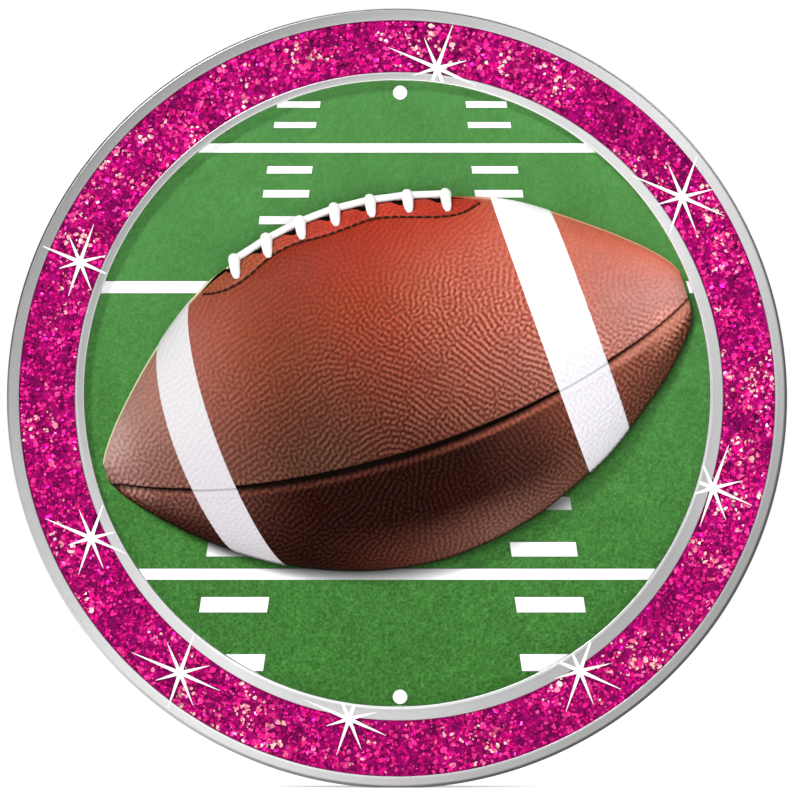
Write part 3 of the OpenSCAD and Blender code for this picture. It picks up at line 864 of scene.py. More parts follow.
_f = np.linspace(0, math.pi, 3001)
_w = np.sqrt(np.sin(_f) ** 2 + (BALL_H / BALL_R) ** 2 * np.cos(_f) ** 2)
_arc = np.concatenate([[0], np.cumsum((_w[1:] + _w[:-1]) / 2)]) * (_f[1] - _f[0])
_arc -= np.interp(math.pi / 2, _f, _arc)


def unrolled(s, f):
    """Place along the axis and arc length up the side, in mm."""
    return np.stack([s, half_w(s) * np.interp(f, _f, _arc)], 1)


def painted_ball_shadow(m):
    """Painted shadow of the ball on the field's markings, close under the ball's outline."""
    xyz = m.node("ShaderNodeSeparateXYZ")
    m.link(m.coord(), xyz.inputs[0])
    x = m.maths("SUBTRACT", xyz.outputs["X"], BALL_X * MM)
    z = m.maths("SUBTRACT", xyz.outputs["Z"], BALL_Y * MM)
    c, s = math.cos(TILT), math.sin(TILT)
    a = m.maths("ADD", m.maths("MULTIPLY", x, c), m.maths("MULTIPLY", z, s))
    b = m.maths("SUBTRACT", m.maths("MULTIPLY", z, c), m.maths("MULTIPLY", x, s))
    u = m.span(a, 0.0, 1.0, -18 * MM, 22 * MM)
    at = np.linspace(-18, 22, 27)
    half = half_w(np.clip(at, TIP_L + 0.05, TIP_R - 0.05)) + fair(at, LOW_FIX)
    wide = m.ramp(u, [(i / 26, (h / 16, h / 16, h / 16)) for i, h in enumerate(half)])
    d = m.maths("SUBTRACT", m.maths("MULTIPLY", b, -1.0), m.maths("MULTIPLY", wide, 16 * MM))
    reach = m.ramp(u, [(i, (g / 4, g / 4, g / 4)) for i, g in (
        (0.0, 1.25), (0.2, 1.2), (0.38, 1.05), (0.52, 1.15), (0.6, 0.95), (0.7, 1.7), (1.0, 2.0))])
    k = m.maths("DIVIDE", d, m.maths("MULTIPLY", reach, 4 * MM))
    k = m.maths("MAXIMUM", k, m.span(z, 0.0, 1.0, -8 * MM, -3 * MM))
    shade = m.ramp(k, [(i, (g, g, g * 1.02)) for i, g in (
        (0.0, 0.05), (0.1, 0.12), (0.2, 0.2), (0.32, 0.3), (0.42, 0.4), (0.54, 0.53), (0.68, 0.7),
        (0.84, 0.87), (1.0, 1.0))])
    old = m.bsdf.inputs["Base Color"].links[0].from_socket
    m.base(m.times(old, shade))


painted_ball_shadow(chalk)


def grain_amount(s, f):
    """How strongly the grain stands out: most right of the middle, least at the top and tips."""
    c = -np.cos(f)
    low = ease((0.8 - c) / 0.75)
    mid = np.exp(-((s - 6.0) / 7.5) ** 2)
    a = 0.09 + 0.09 * low + 0.4 * low * mid
    a = a * (1 - 0.62 * ease((s - 13.5) / 3) * ease((c + 0.3) / 0.4)) * (1 - 0.2 * ease((-7 - s) / 5))
    under = 0.26 + 0.12 * ease((-c - 0.45) / 0.2) * ease((s - 4) / 8)
    return np.where(c < -0.36, under, a)


def grain_normal(q, s, f):
    """Direction across the rows of grain, in radians: slants on the left that turn, right of the
    middle, into arcs opening to the right. It turns the other way underneath."""
    c = -np.cos(f)
    at = 0.37 - 0.12 * ease((s - 12) / 4)
    arcs = np.radians(54) * np.tanh((at - c) / 0.4)
    k = ease((s + 5) / 9.5)
    up = np.radians(118) * (1 - k) + arcs * k
    low = np.radians(-60 + 104 * ease((s + 8) / 20))
    n1 = smooth_noise(q, 3.1, 3) - 0.5
    n2 = smooth_noise(q, 1.5, 5) - 0.5
    return np.where(c < -0.39, low, up) + 0.8 * n1 + 0.6 * n2


def grown_grain(wave=0.38, step=0.06, rounds=3, turns=10):
    """The leather's grain on the unrolled sheet, grown the way ridges grow: noise is passed over
    and over through filters that keep one spacing along the local direction, and held in
    bounds, until it settles into beads lined up in wavy rows. Comes out with a spread of 1."""
    u = np.arange(-18.6, 22.8, step)
    wide = float(half_w(np.array([1.9]))[0])
    v = np.arange(wide * _arc[0] - 0.4, wide * _arc[-1] + 0.4, step)
    uu, vv = np.meshgrid(u, v, indexing="ij")
    s = np.clip(uu.ravel(), TIP_L + 0.1, TIP_R - 0.1)
    f = np.interp(vv.ravel() / np.maximum(half_w(s), 0.4), _arc, _f)
    c = -np.cos(f)
    normal = grain_normal(np.stack([uu.ravel(), vv.ravel()], 1), s, f).reshape(uu.shape)
    neat = (np.exp(-((s - 7) / 6.5) ** 2) * np.exp(-((c + 0.1) / 0.45) ** 2)).reshape(uu.shape)
    side = 0.6 - 0.3 * neat
    ku = np.fft.fftfreq(len(u), step)[:, None]
    kv = np.fft.rfftfreq(len(v), step)[None, :]
    band = np.exp(-((np.hypot(ku, kv) * wave - 1) / 0.2) ** 2)
    way = np.arctan2(kv, ku)

    def lobe(th, width):
        return np.exp(-((((way - th + np.pi / 2) % np.pi) - np.pi / 2) / width) ** 2)
    at = normal / np.pi * turns
    rng = np.random.default_rng(4)
    z = rng.standard_normal(uu.shape)
    for k in range(rounds):
        zf = np.fft.rfft2(z) * band
        out = np.zeros(uu.shape)
        for j in range(turns):
            w = np.clip(1 - np.abs((at - j + turns / 2) % turns - turns / 2), 0, 1)
            th = np.pi * j / turns
            out += w * np.fft.irfft2(zf * lobe(th, 0.36), uu.shape)
            out += w * side * np.fft.irfft2(zf * (lobe(th + 1.1, 0.4) + lobe(th - 1.1, 0.4)), uu.shape)
        out /= out.std()
        z = np.tanh(1.5 * (out + 0.25 * (out * out - 1))) + 1.0 * rng.standard_normal(uu.shape)
    loose = np.fft.irfft2(np.fft.rfft2(rng.standard_normal(uu.shape))
                          * np.exp(-((np.hypot(ku, kv) * 0.31 - 1) / 0.35) ** 2), uu.shape)
    out += (1.3 - 0.65 * neat) * loose / loose.std()
    return u[0], v[0], step, out / out.std()


def grain_at(q):
    """The grown grain at points of the unrolled sheet."""
    u0, v0, step, g = GRAIN
    x = np.clip((q[:, 0] - u0) / step, 0, g.shape[0] - 1.001)
    y = np.clip((q[:, 1] - v0) / step, 0, g.shape[1] - 1.001)
    i, j = x.astype(int), y.astype(int)
    x, y = x - i, y - j
    return ((g[i, j] * (1 - x) + g[i + 1, j] * x) * (1 - y)
            + (g[i, j + 1] * (1 - x) + g[i + 1, j + 1] * x) * y)


GRAIN = grown_grain()


def pebbles(s, f, depth=1.0):
    """Height of the leather's grain in mm, how far each point stands out of the creases (about
    -1.6 to 1.6), and a number that varies slowly. The grain is short ridges in wavy rows."""
    q = unrolled(s, f)
    x = 1.2 * np.tanh(0.95 * grain_at(q) + 0.1)
    own = smooth_noise(q, 0.4, 71)
    a = (0.8 + 0.4 * smooth_noise(q, 2.4, 8)) * depth
    h = 0.032 * x * np.clip(grain_amount(s, f) * 2.6, 0, 1) * a + 0.012 * (smooth_noise(q, 2.2, 15) - 0.5)
    return h, 1.35 * x * a, own


UP_TOP, UP_LOW = linc(157, 50, 23), linc(90, 41, 27)
LT_TOP, LT_LOW = linc(150, 115, 104), linc(118, 80, 70)
RT_TOP, RT_LOW = linc(206, 114, 95), linc(186, 116, 101)
DN_TOP, DN_LOW = linc(27, 5, 2), linc(112, 74, 64)
LD_TOP, LD_LOW = linc(112, 72, 62), linc(50, 20, 15)
RD_TOP, RD_LOW = linc(126, 66, 49), linc(94, 50, 34)


def ball_dye_and_shading(s, f, lower):
    """Leather colour, partly dye and partly painted light: red, painted lighter at the top; dark brown underneath as
    painted shade, with painted reflected light near the bottom edge; paler and rosier at both tips as painted
    highlight.
    """
    c = -np.cos(f)                       # 1 at the top of the outline, -1 at the bottom
    left = ease((-5.0 - s) / 12.0)
    if lower:
        right = ease((s - 4.5) / 12.5)
        v = ease((-c - 0.71) / 0.25)
        mid = mix(DN_TOP[None], DN_LOW[None], v * ease((s + 7) / 15))
        v = ease((-c - 0.45) / 0.5)
        l = mix(LD_TOP[None], LD_LOW[None], v)
        r = mix(RD_TOP[None], RD_LOW[None], ease((-c - 0.5) / 0.45))
    else:
        right = ease((s - 1.0) / 18.0)
        v = ease((c + 0.45) / 1.25)
        mid = mix(UP_LOW[None], UP_TOP[None], v)
        l = mix(LT_LOW[None], LT_TOP[None], v)
        r = mix(RT_LOW[None], RT_TOP[None], v)
    col = mix(mid, l, left)
    col = mix(col, r, right)

    def change(k, *rgb):
        return 1 + np.reshape(k, (-1, 1)) * np.array([rgb])

    if lower:
        col = col * change(np.exp(-((s + 3.5) / 5.5) ** 2), 0.08, -0.34, -0.45)
        col = col * change(np.exp(-((s - 4.5) / 2.2) ** 2) * np.exp(-((c + 0.66) / 0.16) ** 2), 0.45, 0.1, 0.0)
        col = col * change(np.exp(-((s - 9) / 2.2) ** 2) * np.exp(-((c + 0.7) / 0.22) ** 2), -0.34, -0.45, -0.47)
        # painted highlight: paler at both tips, on the lower panel too
        col = col * change(ease((-14.6 - s) / 2.4), 1.3, 1.9, 2.1)
        return col * change(ease((s - 17.6) / 3) * ease((0.74 + c) / 0.16), 1.2, 1.9, 2.3)
    # browner left of the middle, dusky at half height, a deeper red under the laces
    col = col * change(np.exp(-((s + 4.6) / 4.2) ** 2), -0.26, 0.07, 0.04)
    col = col * change(np.exp(-((s + 4) / 5.5) ** 2) * np.exp(-((c + 0.1) / 0.42) ** 2), -0.2, -0.2, -0.16)
    col = col * change(ease((c - 0.42 - 0.015 * s) / 0.35) * ease((s + 7) / 4) * ease((13 - s) / 4), 0.0, -0.42, -0.6)
    col = col * change(ease((-c - 0.08) / 0.28) * ease((s + 4) / 6) * ease((15 - s) / 4), -0.26, -0.3, -0.32)
    col = col * change(np.exp(-((s + 2.5) / 5.2) ** 2), -0.14, 0.0, 0.0)
    col = col * change(np.exp(-(s / 3.2) ** 2) * ease((c - 0.1) / 0.45), -0.02, -0.12, -0.4)
    col = col * change(np.exp(-((s - 5.2) / 2.1) ** 2) * np.exp(-((c - 0.3) / 0.4) ** 2), 0.03, 0.24, 0.24)
    col = col * change(np.exp(-((s + 7) / 2.6) ** 2) * np.exp(-((c - 0.45) / 0.32) ** 2), 0.0, 0.14, 0.12)
    col = col * change(np.exp(-((s - 1) / 3.2) ** 2) * ease((-0.08 - c) / 0.2), -0.05, -0.14, -0.24)
    col = col * change(np.exp(-((s - 9.5) / 2.2) ** 2) * np.exp(-((c + 0.12) / 0.2) ** 2), -0.12, -0.12, -0.05)
    # painted highlight: paler at both tips
    col = col * change(np.exp(-((s - 20) / 1.5) ** 2) * np.exp(-((c + 0.26) / 0.13) ** 2), 0.26, 0.26, 0.22)
    col = col * change(ease((s - 17.6) / 3), 0.14, 0.22, 0.26)
    col = col * change(ease((-14.6 - s) / 2.4), 0.36, 0.47, 0.6)
    col = col * change(ease((s - 13.5) / 3.5) * ease((c - 0.66) / 0.25), 0.0, -0.2, -0.32)
    return col * change(ease((s - 14) / 4) * np.exp(-((c - 0.15) / 0.4) ** 2), 0.04, 0.3, 0.5)


def edge_roll(e, width=0.26, depth=0.2):
    """Depth below the leather at a distance e from a turned-in edge."""
    x = np.clip(1 - e / width, 0, 1)
    return -depth * (1 - np.sqrt(1 - x * x))


def shell(name, ns, nf, g0, g1, lo, hi, height, inner_h, colour_fn, mats, stride=4, straight=False,
          amount_fn=None, **kw):
    """Closed curved shell: fine on the outside, coarse on the hidden inside."""
    nf = int(math.ceil(nf / stride) * stride)
    ns = int(math.ceil(ns / stride) * stride)
    g = even(axis_speed, g0, g1, ns) if not isinstance(g0, np.ndarray) else g0
    base = even(angle_speed, 0.0, math.pi, 2000)
    a, b = lo(g), hi(g)
    # evenly spaced angles by arc length between the two edges
    table_x = base
    table_y = np.linspace(0, 1, len(base))
    ya, yb = np.interp(a, table_x, table_y), np.interp(b, table_x, table_y)
    y = ya[:, None] + (yb - ya)[:, None] * np.linspace(0, 1, nf + 1)[None]
    f = np.interp(y.ravel(), table_y, table_x).reshape(y.shape)
    gg = np.broadcast_to(g[:, None], f.shape)
    s = gg + 0.0 if straight else ring_s(gg, f)
    s, f = s.ravel(), f.ravel()
    p0 = at_axis(s, f, np.zeros_like(s))
    h, extra = height(s, f, gg.ravel(), p0)
    outer = at_axis(s, f, np.maximum(h, -0.34))
    m, w = ns + 1, nf + 1
    ii, jj = np.arange(0, m, stride), np.arange(0, w, stride)
    pick = (ii[:, None] * w + jj[None, :]).ravel()
    inner = at_axis(s[pick], f[pick], np.full(len(pick), inner_h))
    M, W = len(ii), len(jj)
    idx = np.arange(m * w).reshape(m, w)
    quads = np.stack([idx[:-1, :-1], idx[:-1, 1:], idx[1:, 1:], idx[1:, :-1]], -1).reshape(-1, 4)
    o = m * w
    cidx = o + np.arange(M * W).reshape(M, W)
    under = np.stack([cidx[:-1, :-1], cidx[1:, :-1], cidx[1:, 1:], cidx[:-1, 1:]], -1).reshape(-1, 4)
    tris = []

    def skirt(fine, coarse, flip):
        fine, coarse = np.asarray(fine), np.asarray(coarse)
        k = len(coarse) - 1
        half = stride // 2
        for q in range(k):
            c0, c1 = coarse[q], coarse[q + 1]
            part = fine[q * stride:(q + 1) * stride + 1]
            for x in range(stride):
                if x == half:
                    t = [part[x], c1, c0]
                    tris.append(t[::-1] if flip else t)
                own = c0 if x < half else c1
                t = [part[x], part[x + 1], own]
                tris.append(t[::-1] if flip else t)

    skirt(idx[:, 0], cidx[:, 0], False)
    skirt(idx[:, -1], cidx[:, -1], True)
    skirt(idx[0, :], cidx[0, :], True)
    skirt(idx[-1, :], cidx[-1, :], False)
    col = colour_fn(s, f, extra)
    colours = np.concatenate([col, col[pick] * 0.6])
    if amount_fn:
        am = amount_fn(s, f)
        kw["amount"] = np.concatenate([am, am[pick]])
    return make(name, np.concatenate([outer, inner]), quads=np.concatenate([quads, under]),
                tris=np.array(tris), mats=mats, sharp=55, colour=colours, **kw)


def tip_round(s):
    """Softens the blunt ends."""
    a = np.clip(1 - (s - TIP_L) / 0.5, 0, 1)
    b = np.clip(1 - (TIP_R - s) / 0.8, 0, 1)
    return -0.3 * (1 - np.sqrt(1 - a * a)) - 0.45 * (1 - np.sqrt(1 - b * b))


def seam_gap(g):
    """Half width of the seam's opening, in mm: widest in the middle of the ball."""
    return (0.048 + 0.085 * ease((g + 13) / 8) * ease((14.5 - g) / 9)) * (1 - 0.45 * ease((g - 16.5) / 3))


def local_speed(s, f):
    return half_w(s) * np.sqrt(np.sin(f) ** 2 + (BALL_H / BALL_R) ** 2 * np.cos(f) ** 2)


def gap_angle(g):
    return np.minimum(0.35, seam_gap(g) / (0.93 * half_w(g)))


def panel_height(side):
    def fn(s, f, g, p):
        h, x, own = pebbles(s, f)
        e = np.abs(f - seam_f(g)) * local_speed(s, f)
        e = np.maximum(0, e - seam_gap(g))
        calm = ease(e / 0.5)
        small = np.clip(half_w(s) / 2.0, 0.25, 1)
        h = h * (0.35 + 0.65 * calm) * small
        h = h + edge_roll(e, 0.3, 0.24) * small
        if side == "lower":
            h = h + 0.05 * np.exp(-((e - 0.32) / 0.2) ** 2) * small
        # both of the ball's points are rounded off
        h = h + tip_round(s)
        return h, (x, own, e)
    return fn


def panel_tone(lower):
    def fn(s, f, extra):
        x, own, e = extra
        col = ball_dye_and_shading(s, f, lower) * 0.965
        # the right point is held back a little against the edge light
        k = ease((s - 14) / 3) * (1 - 0.7 * ease((-np.cos(f) - 0.4) / 0.4))
        col = col * (1 - k[:, None] * np.array([0.115, 0.09, 0.07]))
        r = half_w(s)
        k = grain_amount(s, f) * 1.35
        # the grain's tone, with painted shade deepening its creases and painted light on its tops; the creases are
        # redder than the tops: green and blue follow the grain more than red
        kk = k[:, None] * np.array([0.76, 1.18, 1.38])
        mod = np.exp(np.clip(kk * x[:, None], -1.7, 0.95) - 0.42 * kk * kk)
        col = col * mod * (0.94 + 0.12 * own)[:, None]
        # painted highlight: the tops of the grain are painted a little paler
        grain_top_highlight = np.clip(x, 0, 2) * k * (0.06 if lower else 0.2)
        pale = mix(col, linc(236, 178, 158)[None], 0.5 * np.ones(len(s)))
        col = col * (1 - grain_top_highlight[:, None]) + pale * grain_top_highlight[:, None]
        if lower:
            # painted highlight along the lower panel's rounded edge under the seam, stronger towards the right point
            tip = ease((s - 14) / 3)
            lip = np.exp(-((e - 0.27 - 0.1 * tip) / (0.17 + 0.11 * tip)) ** 2) * np.clip(0.7 + 0.2 * tip + 0.25 * x * (1 - 0.6 * tip), 0, 1)
            lip = lip[:, None]
            pale = mix(col, mix(linc(176, 96, 76)[None], linc(212, 138, 118)[None], tip), 0.75 * np.ones(len(s)))
            k = lip * (0.2 + 0.8 * ease((s - 1) / 9))[:, None]
            col = col * (1 - k) + pale * k
            # painted shade along the bottom of the outline
            rim = ease(1 - r * (1 - np.abs(np.cos(f))) / 0.22)[:, None]
            col = col * (1 - 0.85 * rim)
        else:
            # painted highlight: a pale cream edge along the top of the outline
            w = ease(1.6 - r * (1 - np.abs(np.cos(f))) / 0.13)
            cream = mix(linc(226, 218, 184)[None], linc(246, 190, 156)[None], ease((s - 2) / 12))
            k = (w * np.clip(ease((-4 - s) / 3) + 0.8 * ease((s - 9) / 3), 0, 1))[:, None]
            col = col * (1 - k) + cream * k
        # painted shade where the leather turns down into the seam
        dark = (np.exp(-(e / 0.1) ** 2) * (1 - 0.35 * ease((s - 15) / 5)))[:, None]
        return col * (1 - 0.75 * dark)
    return fn


def panel_shine(lower):
    def fn(s, f):
        c = -np.cos(f)
        if lower:
            return 0.02 + 0.08 * ease((s - 2) / 14)
        return 0.05 + 0.13 * ease((c + 0.5) / 1.2) * (0.6 + 0.4 * ease((s + 2) / 10))
    return fn


shell("leather_upper", 460, 190, TIP_L, TIP_R, lambda g: seam_f(g) + gap_angle(g),
      lambda g: np.full_like(g, math.pi), panel_height("upper"), -0.34, panel_tone(False),
      [mat_leather], slot="leather", replaces=["upper_panel"], amount_fn=panel_shine(False))
shell("leather_lower", 460, 96, TIP_L, TIP_R, lambda g: np.zeros_like(g),
      lambda g: seam_f(g) - gap_angle(g), panel_height("lower"), -0.34, panel_tone(True),
      [mat_leather], slot="leather", replaces=["lower_panel"], amount_fn=panel_shine(True))


def flat_tone(rgb, var=0.1):
    def fn(s, f, extra):
        k = 1 - var + 2 * var * smooth_noise(np.stack([s * 1.0, f * 8.0], 1), 0.4, 61)
        return np.asarray(rgb)[None] * k[:, None]
    return fn


def core_moulding():
    """The moulded core, just under the leather and a little short of the ball's points."""
    n, m = 200, 61
    g = np.linspace(TIP_L + 0.03, TIP_R - 0.15, n)
    ss, ff = np.meshgrid(g, np.linspace(0, math.pi, m), indexing="ij")
    ss, ff = ss.ravel(), ff.ravel()
    wavy = smooth_noise(np.stack([ss, ff * 6.0], 1), 1.5, 91) - 0.5
    v = at_axis(ss, ff, -0.375 + 0.02 * wavy)
    idx = np.arange(n * m).reshape(n, m)
    quads = np.stack([idx[:-1, :-1], idx[:-1, 1:], idx[1:, 1:], idx[1:, :-1]], -1).reshape(-1, 4)
    base = np.stack([idx[:-1, -1], idx[:-1, 0], idx[1:, 0], idx[1:, -1]], -1)
    make("core_moulding", v, quads=np.concatenate([quads, base]), ngons=[idx[0, ::-1], idx[-1, :]],
         mats=[mat_core], sharp=40, slot="core", replaces=["ball_core"])


core_moulding()


def thread_tone(s, f, extra):
    """Black in the middle of the ball, brown where the seam runs out at the right point."""
    k = 0.7 + 0.6 * smooth_noise(np.stack([s * 1.0, f * 8.0], 1), 0.4, 61)
    col = mix(np.array([[0.004, 0.002, 0.001]]), linc(104, 50, 34)[None], ease((s - 14.5) / 6.5))
    return col * k[:, None]


# the seam's dark thread, lying in the groove
shell("seam_thread", 360, 8, TIP_L + 0.05, TIP_R - 0.05, lambda g: seam_f(g) - gap_angle(g) * 1.25,
      lambda g: seam_f(g) + gap_angle(g) * 1.25,
      lambda s, f, g, p: (-0.22 + 0.02 * np.sin(s * 9.0), None), -0.34,
      thread_tone, [mat_seam], slot="thread", replaces=["seam_cord"])


def stripe(name, a, b, tone0, tone1, **kw):
    """A band of paint over both panels; it keeps the leather's grain and dips at the seam."""
    up, low = panel_height("upper"), panel_height("lower")

    def height(s, f, g, p):
        hu, (grain, own, e) = up(s, f, g, p)
        hl = low(s, f, g, p)[0]
        h = np.where(f > seam_f(g), hu, hl)
        d = np.abs(f - seam_f(g)) * local_speed(s, f)
        x = (g - a) / (b - a)
        side = np.minimum(x, 1 - x) * (b - a)
        smooth = ease((d - 0.1) / 0.25)
        h = h * smooth + (1 - smooth) * 0.012
        h = h + 0.05 - 0.05 * np.exp(-(d / 0.06) ** 2)
        return h - 0.03 * (1 - ease(side / 0.1)), (grain, d, f)

    def tone(s, f, extra):
        grain, d, ff = extra
        c = -np.cos(ff)
        # painted shading: the band runs from tone0 at the top down to the darker tone1 at the bottom
        col = mix(np.asarray(tone1)[None], np.asarray(tone0)[None], ease((c + 0.55) / 1.1))
        col = col * (1 + 0.035 * grain)[:, None]
        # painted shade in the dip along the seam and along the bottom of the outline
        line = np.exp(-(d / 0.06) ** 2)[:, None]
        rim = (ease(1 - half_w(s) * (1 + c) / 0.22) * (c < 0))[:, None]
        return col * (1 - 0.45 * line) * (1 - 0.85 * rim)

    n = int((b - a) / 0.09)
    shell(name, n, 330, a, b, lambda g: np.zeros_like(g), lambda g: np.full_like(g, math.pi),
          height, -0.06, tone, [mat_stripe], slot="stripe", **kw)


stripe("stripe_left", *STRIPE_L, linc(204, 201, 203), linc(195, 190, 196), replaces=["left_stripe"])
stripe("stripe_right", *STRIPE_R, linc(252, 252, 252), linc(219, 216, 222), replaces=["right_stripe"])


# lace strip
def leaf_height(s, f, g, p):
    h, x, own = pebbles(s, f)
    d = (f - leaf_f(s)) * local_speed(s, f)
    return 0.09 + 0.6 * h - 0.05 * (1 - ease(d / 0.12)), (x, own, d)


def leaf_tone(s, f, extra):
    x, own, d = extra
    a = mix(linc(140, 68, 44)[None], linc(172, 50, 32)[None], ease((s + 7) / 9))
    a = a * (np.exp(0.2 * x) * (0.8 + 0.4 * smooth_noise(unrolled(s, f), 0.9, 44)))[:, None]
    shade = ease((f - math.radians(166)) / math.radians(6))[:, None]
    return a * (1 - 0.45 * shade)


shell("lace_leaf", 300, 16, STRIP_FROM, STRIP_TO, leaf_f, leaf_top, leaf_height, -0.05, leaf_tone,
      [mat_leaf], straight=True, slot="leather", replaces=["lace_strip"])


def slit_lo(s):
    """Lower side of the lace opening: it dips to a hole on the left of each cross lace."""
    dip = sum(np.exp(-((s - bar_s(i) + 0.5) / 0.42) ** 2) for i in range(BAR_N))
    a = 166.8 - 5.8 * np.clip(dip, 0, 1) * ease((s + 6.8) / 0.6)
    a = np.where(s < -6.4, 164.6 + 1.0 * ease((s + 8.4) / 2), a)
    return np.radians(a)


def slit_hi(s):
    k = ease((s - STRIP_FROM) / 1.5) * ease((STRIP_TO - 1.2 - s) / 1.2)
    return slit_lo(s) + np.radians(0.4 + 4.6 * k)


def bar_s(i):
    return BAR_FIRST + BAR_SPAN * i / (BAR_N - 1)


# the opening under the lengthwise lace, as a black sheet: the opening is real, its black is painted shade
shell("lace_slit", 300, 8, STRIP_FROM + 0.2, STRIP_TO - 1.0, slit_lo, slit_hi,
      lambda s, f, g, p: (0.115 + 0 * s, None), 0.0, flat_tone((0.01, 0.006, 0.004), 0.3),
      [mat_black], straight=True, slot="thread")


# ---------------------------------------------------------------------------
# Laces and stitches: swept cords
# ---------------------------------------------------------------------------
def cord_mesh(paths, radii, sides, squash=1.0):
    """Vertices and faces of closed cords along the given point lists."""
    verts, quads, tris = [], [], []
    at = 0
    for p, r in zip(paths, radii):
        n = len(p)
        d = np.gradient(p, axis=0)
        d /= np.linalg.norm(d, axis=1)[:, None]
        side = np.cross(d, np.array([0.2, 0.1, 1.0]))
        side /= np.linalg.norm(side, axis=1)[:, None]
        up = np.cross(side, d)
        k = np.linspace(0, 2 * np.pi, sides, endpoint=False)
        ring = (np.cos(k)[None, :, None] * side[:, None] + np.sin(k)[None, :, None] * up[:, None] * squash)
        v = p[:, None] + ring * r[:, None, None]
        verts.append(v.reshape(-1, 3))
        i = np.arange(n - 1)[:, None]
        j = np.arange(sides)[None]
        q = (j + 1) % sides
        quads.append((at + np.stack([i * sides + j, (i + 1) * sides + j, (i + 1) * sides + q, i * sides + q], -1)).reshape(-1, 4))
        a, b = at + n * sides, at + n * sides + 1
        verts.append(np.array([p[0] - d[0] * r[0] * 0.3, p[-1] + d[-1] * r[-1] * 0.3]))
        j = np.arange(sides)
        q = (j + 1) % sides
        tris.append(np.stack([np.full(sides, a), at + j, at + q], 1))
        tris.append(np.stack([np.full(sides, b), at + (n - 1) * sides + q, at + (n - 1) * sides + j], 1))
        at += n * sides + 2
    return np.concatenate(verts), np.concatenate(quads), np.concatenate(tris)


def laces():
    paths, radii = [], []
    U = np.array([0, 0.03, 0.09, 0.2, 0.36, 0.52, 0.68, 0.82, 0.92, 1.0])
    H = np.array([0.12, 0.19, 0.28, 0.36, 0.41, 0.44, 0.45, 0.43, 0.4, 0.36])
    R = np.array([0.34, 0.7, 0.86, 0.96, 1.04, 1.12, 1.2, 1.22, 1.07, 0.62])
    w = np.linspace(0, 1, 44)
    for i in range(BAR_N):
        jig = 0.05 * (rng.uniform(0, 1) - 0.5)
        low = 151.9 + 2.5 * math.sin(math.pi * (i + 0.4) / BAR_N)
        f = low + (170.8 - low) * w
        h = np.interp(w, U, H)
        r = BAR_R * np.interp(w, U, R) * (1 + 0.06 * (rng.uniform(0, 1) - 0.5)) * 1.12
        h, r = (np.convolve(np.pad(x, 3, mode="edge"), np.ones(7) / 7, "valid") for x in (h, r))
        s = bar_s(i) - 0.07 + 0.25 * w + jig
        paths.append(at_axis(s, np.radians(f), h))
        radii.append(r)
    v, q, t = cord_mesh(paths, radii, 26, 0.85)
    make("cross_laces", v, quads=q, tris=t, mats=[mat_lace], smooth=True, slot="lace",
         replaces=["lace_bars"])
    paths, radii = [], []
    for i in range(BAR_N - 1):
        a, b = bar_s(i) + 0.12, bar_s(i + 1) - 0.12
        s = np.linspace(a, b, 40)
        x = np.linspace(0, 1, 40)
        paths.append(at_axis(s, np.radians(169.7 - 0.4 * np.sin(np.pi * x)), 0.28 + 0 * x))
        radii.append(CORD_R * (1.06 - 0.05 * np.sin(np.pi * x)))
    v, q, t = cord_mesh(paths, radii, 22, 0.92)
    make("long_lace", v, quads=q, tris=t, mats=[mat_lace], smooth=True, slot="lace",
         replaces=["lace_cord"])
    # stitches: short dashes of thread along the strip's edge, sunk at both ends
    n = 40
    a, b = STRIP_FROM + 0.1, STRIP_TO - 0.05
    mids = even(lambda s: np.sqrt(1 + (half_w(s) * np.gradient(leaf_f(s), s)) ** 2), a, b, n)
    mids = (mids[1:] + mids[:-1]) / 2
    paths, radii = [], []
    for k, c in enumerate(mids):
        x = np.linspace(-1, 1, 9)
        slope = abs(float((leaf_f(np.array([c + 0.01])) - leaf_f(np.array([c - 0.01])))[0] / 0.02 * half_w(c)))
        half = 0.225 / math.sqrt(1 + min(slope, 6) ** 2)
        s = np.clip(c + x * half, STRIP_FROM + 0.02, STRIP_TO - 0.02)
        paths.append(at_axis(s, leaf_f(s) - math.radians(0.9), 0.085 - 0.07 * x ** 4))
        radii.append(0.066 * np.sqrt(np.clip(1.02 - x ** 2 * 0.75, 0.05, 1)))
    v, q, t = cord_mesh(paths, radii, 12)
    make("strip_stitches", v, quads=q, tris=t, mats=[mat_thread], smooth=True, slot="thread",
         replaces=["lace_stitching"])


laces()

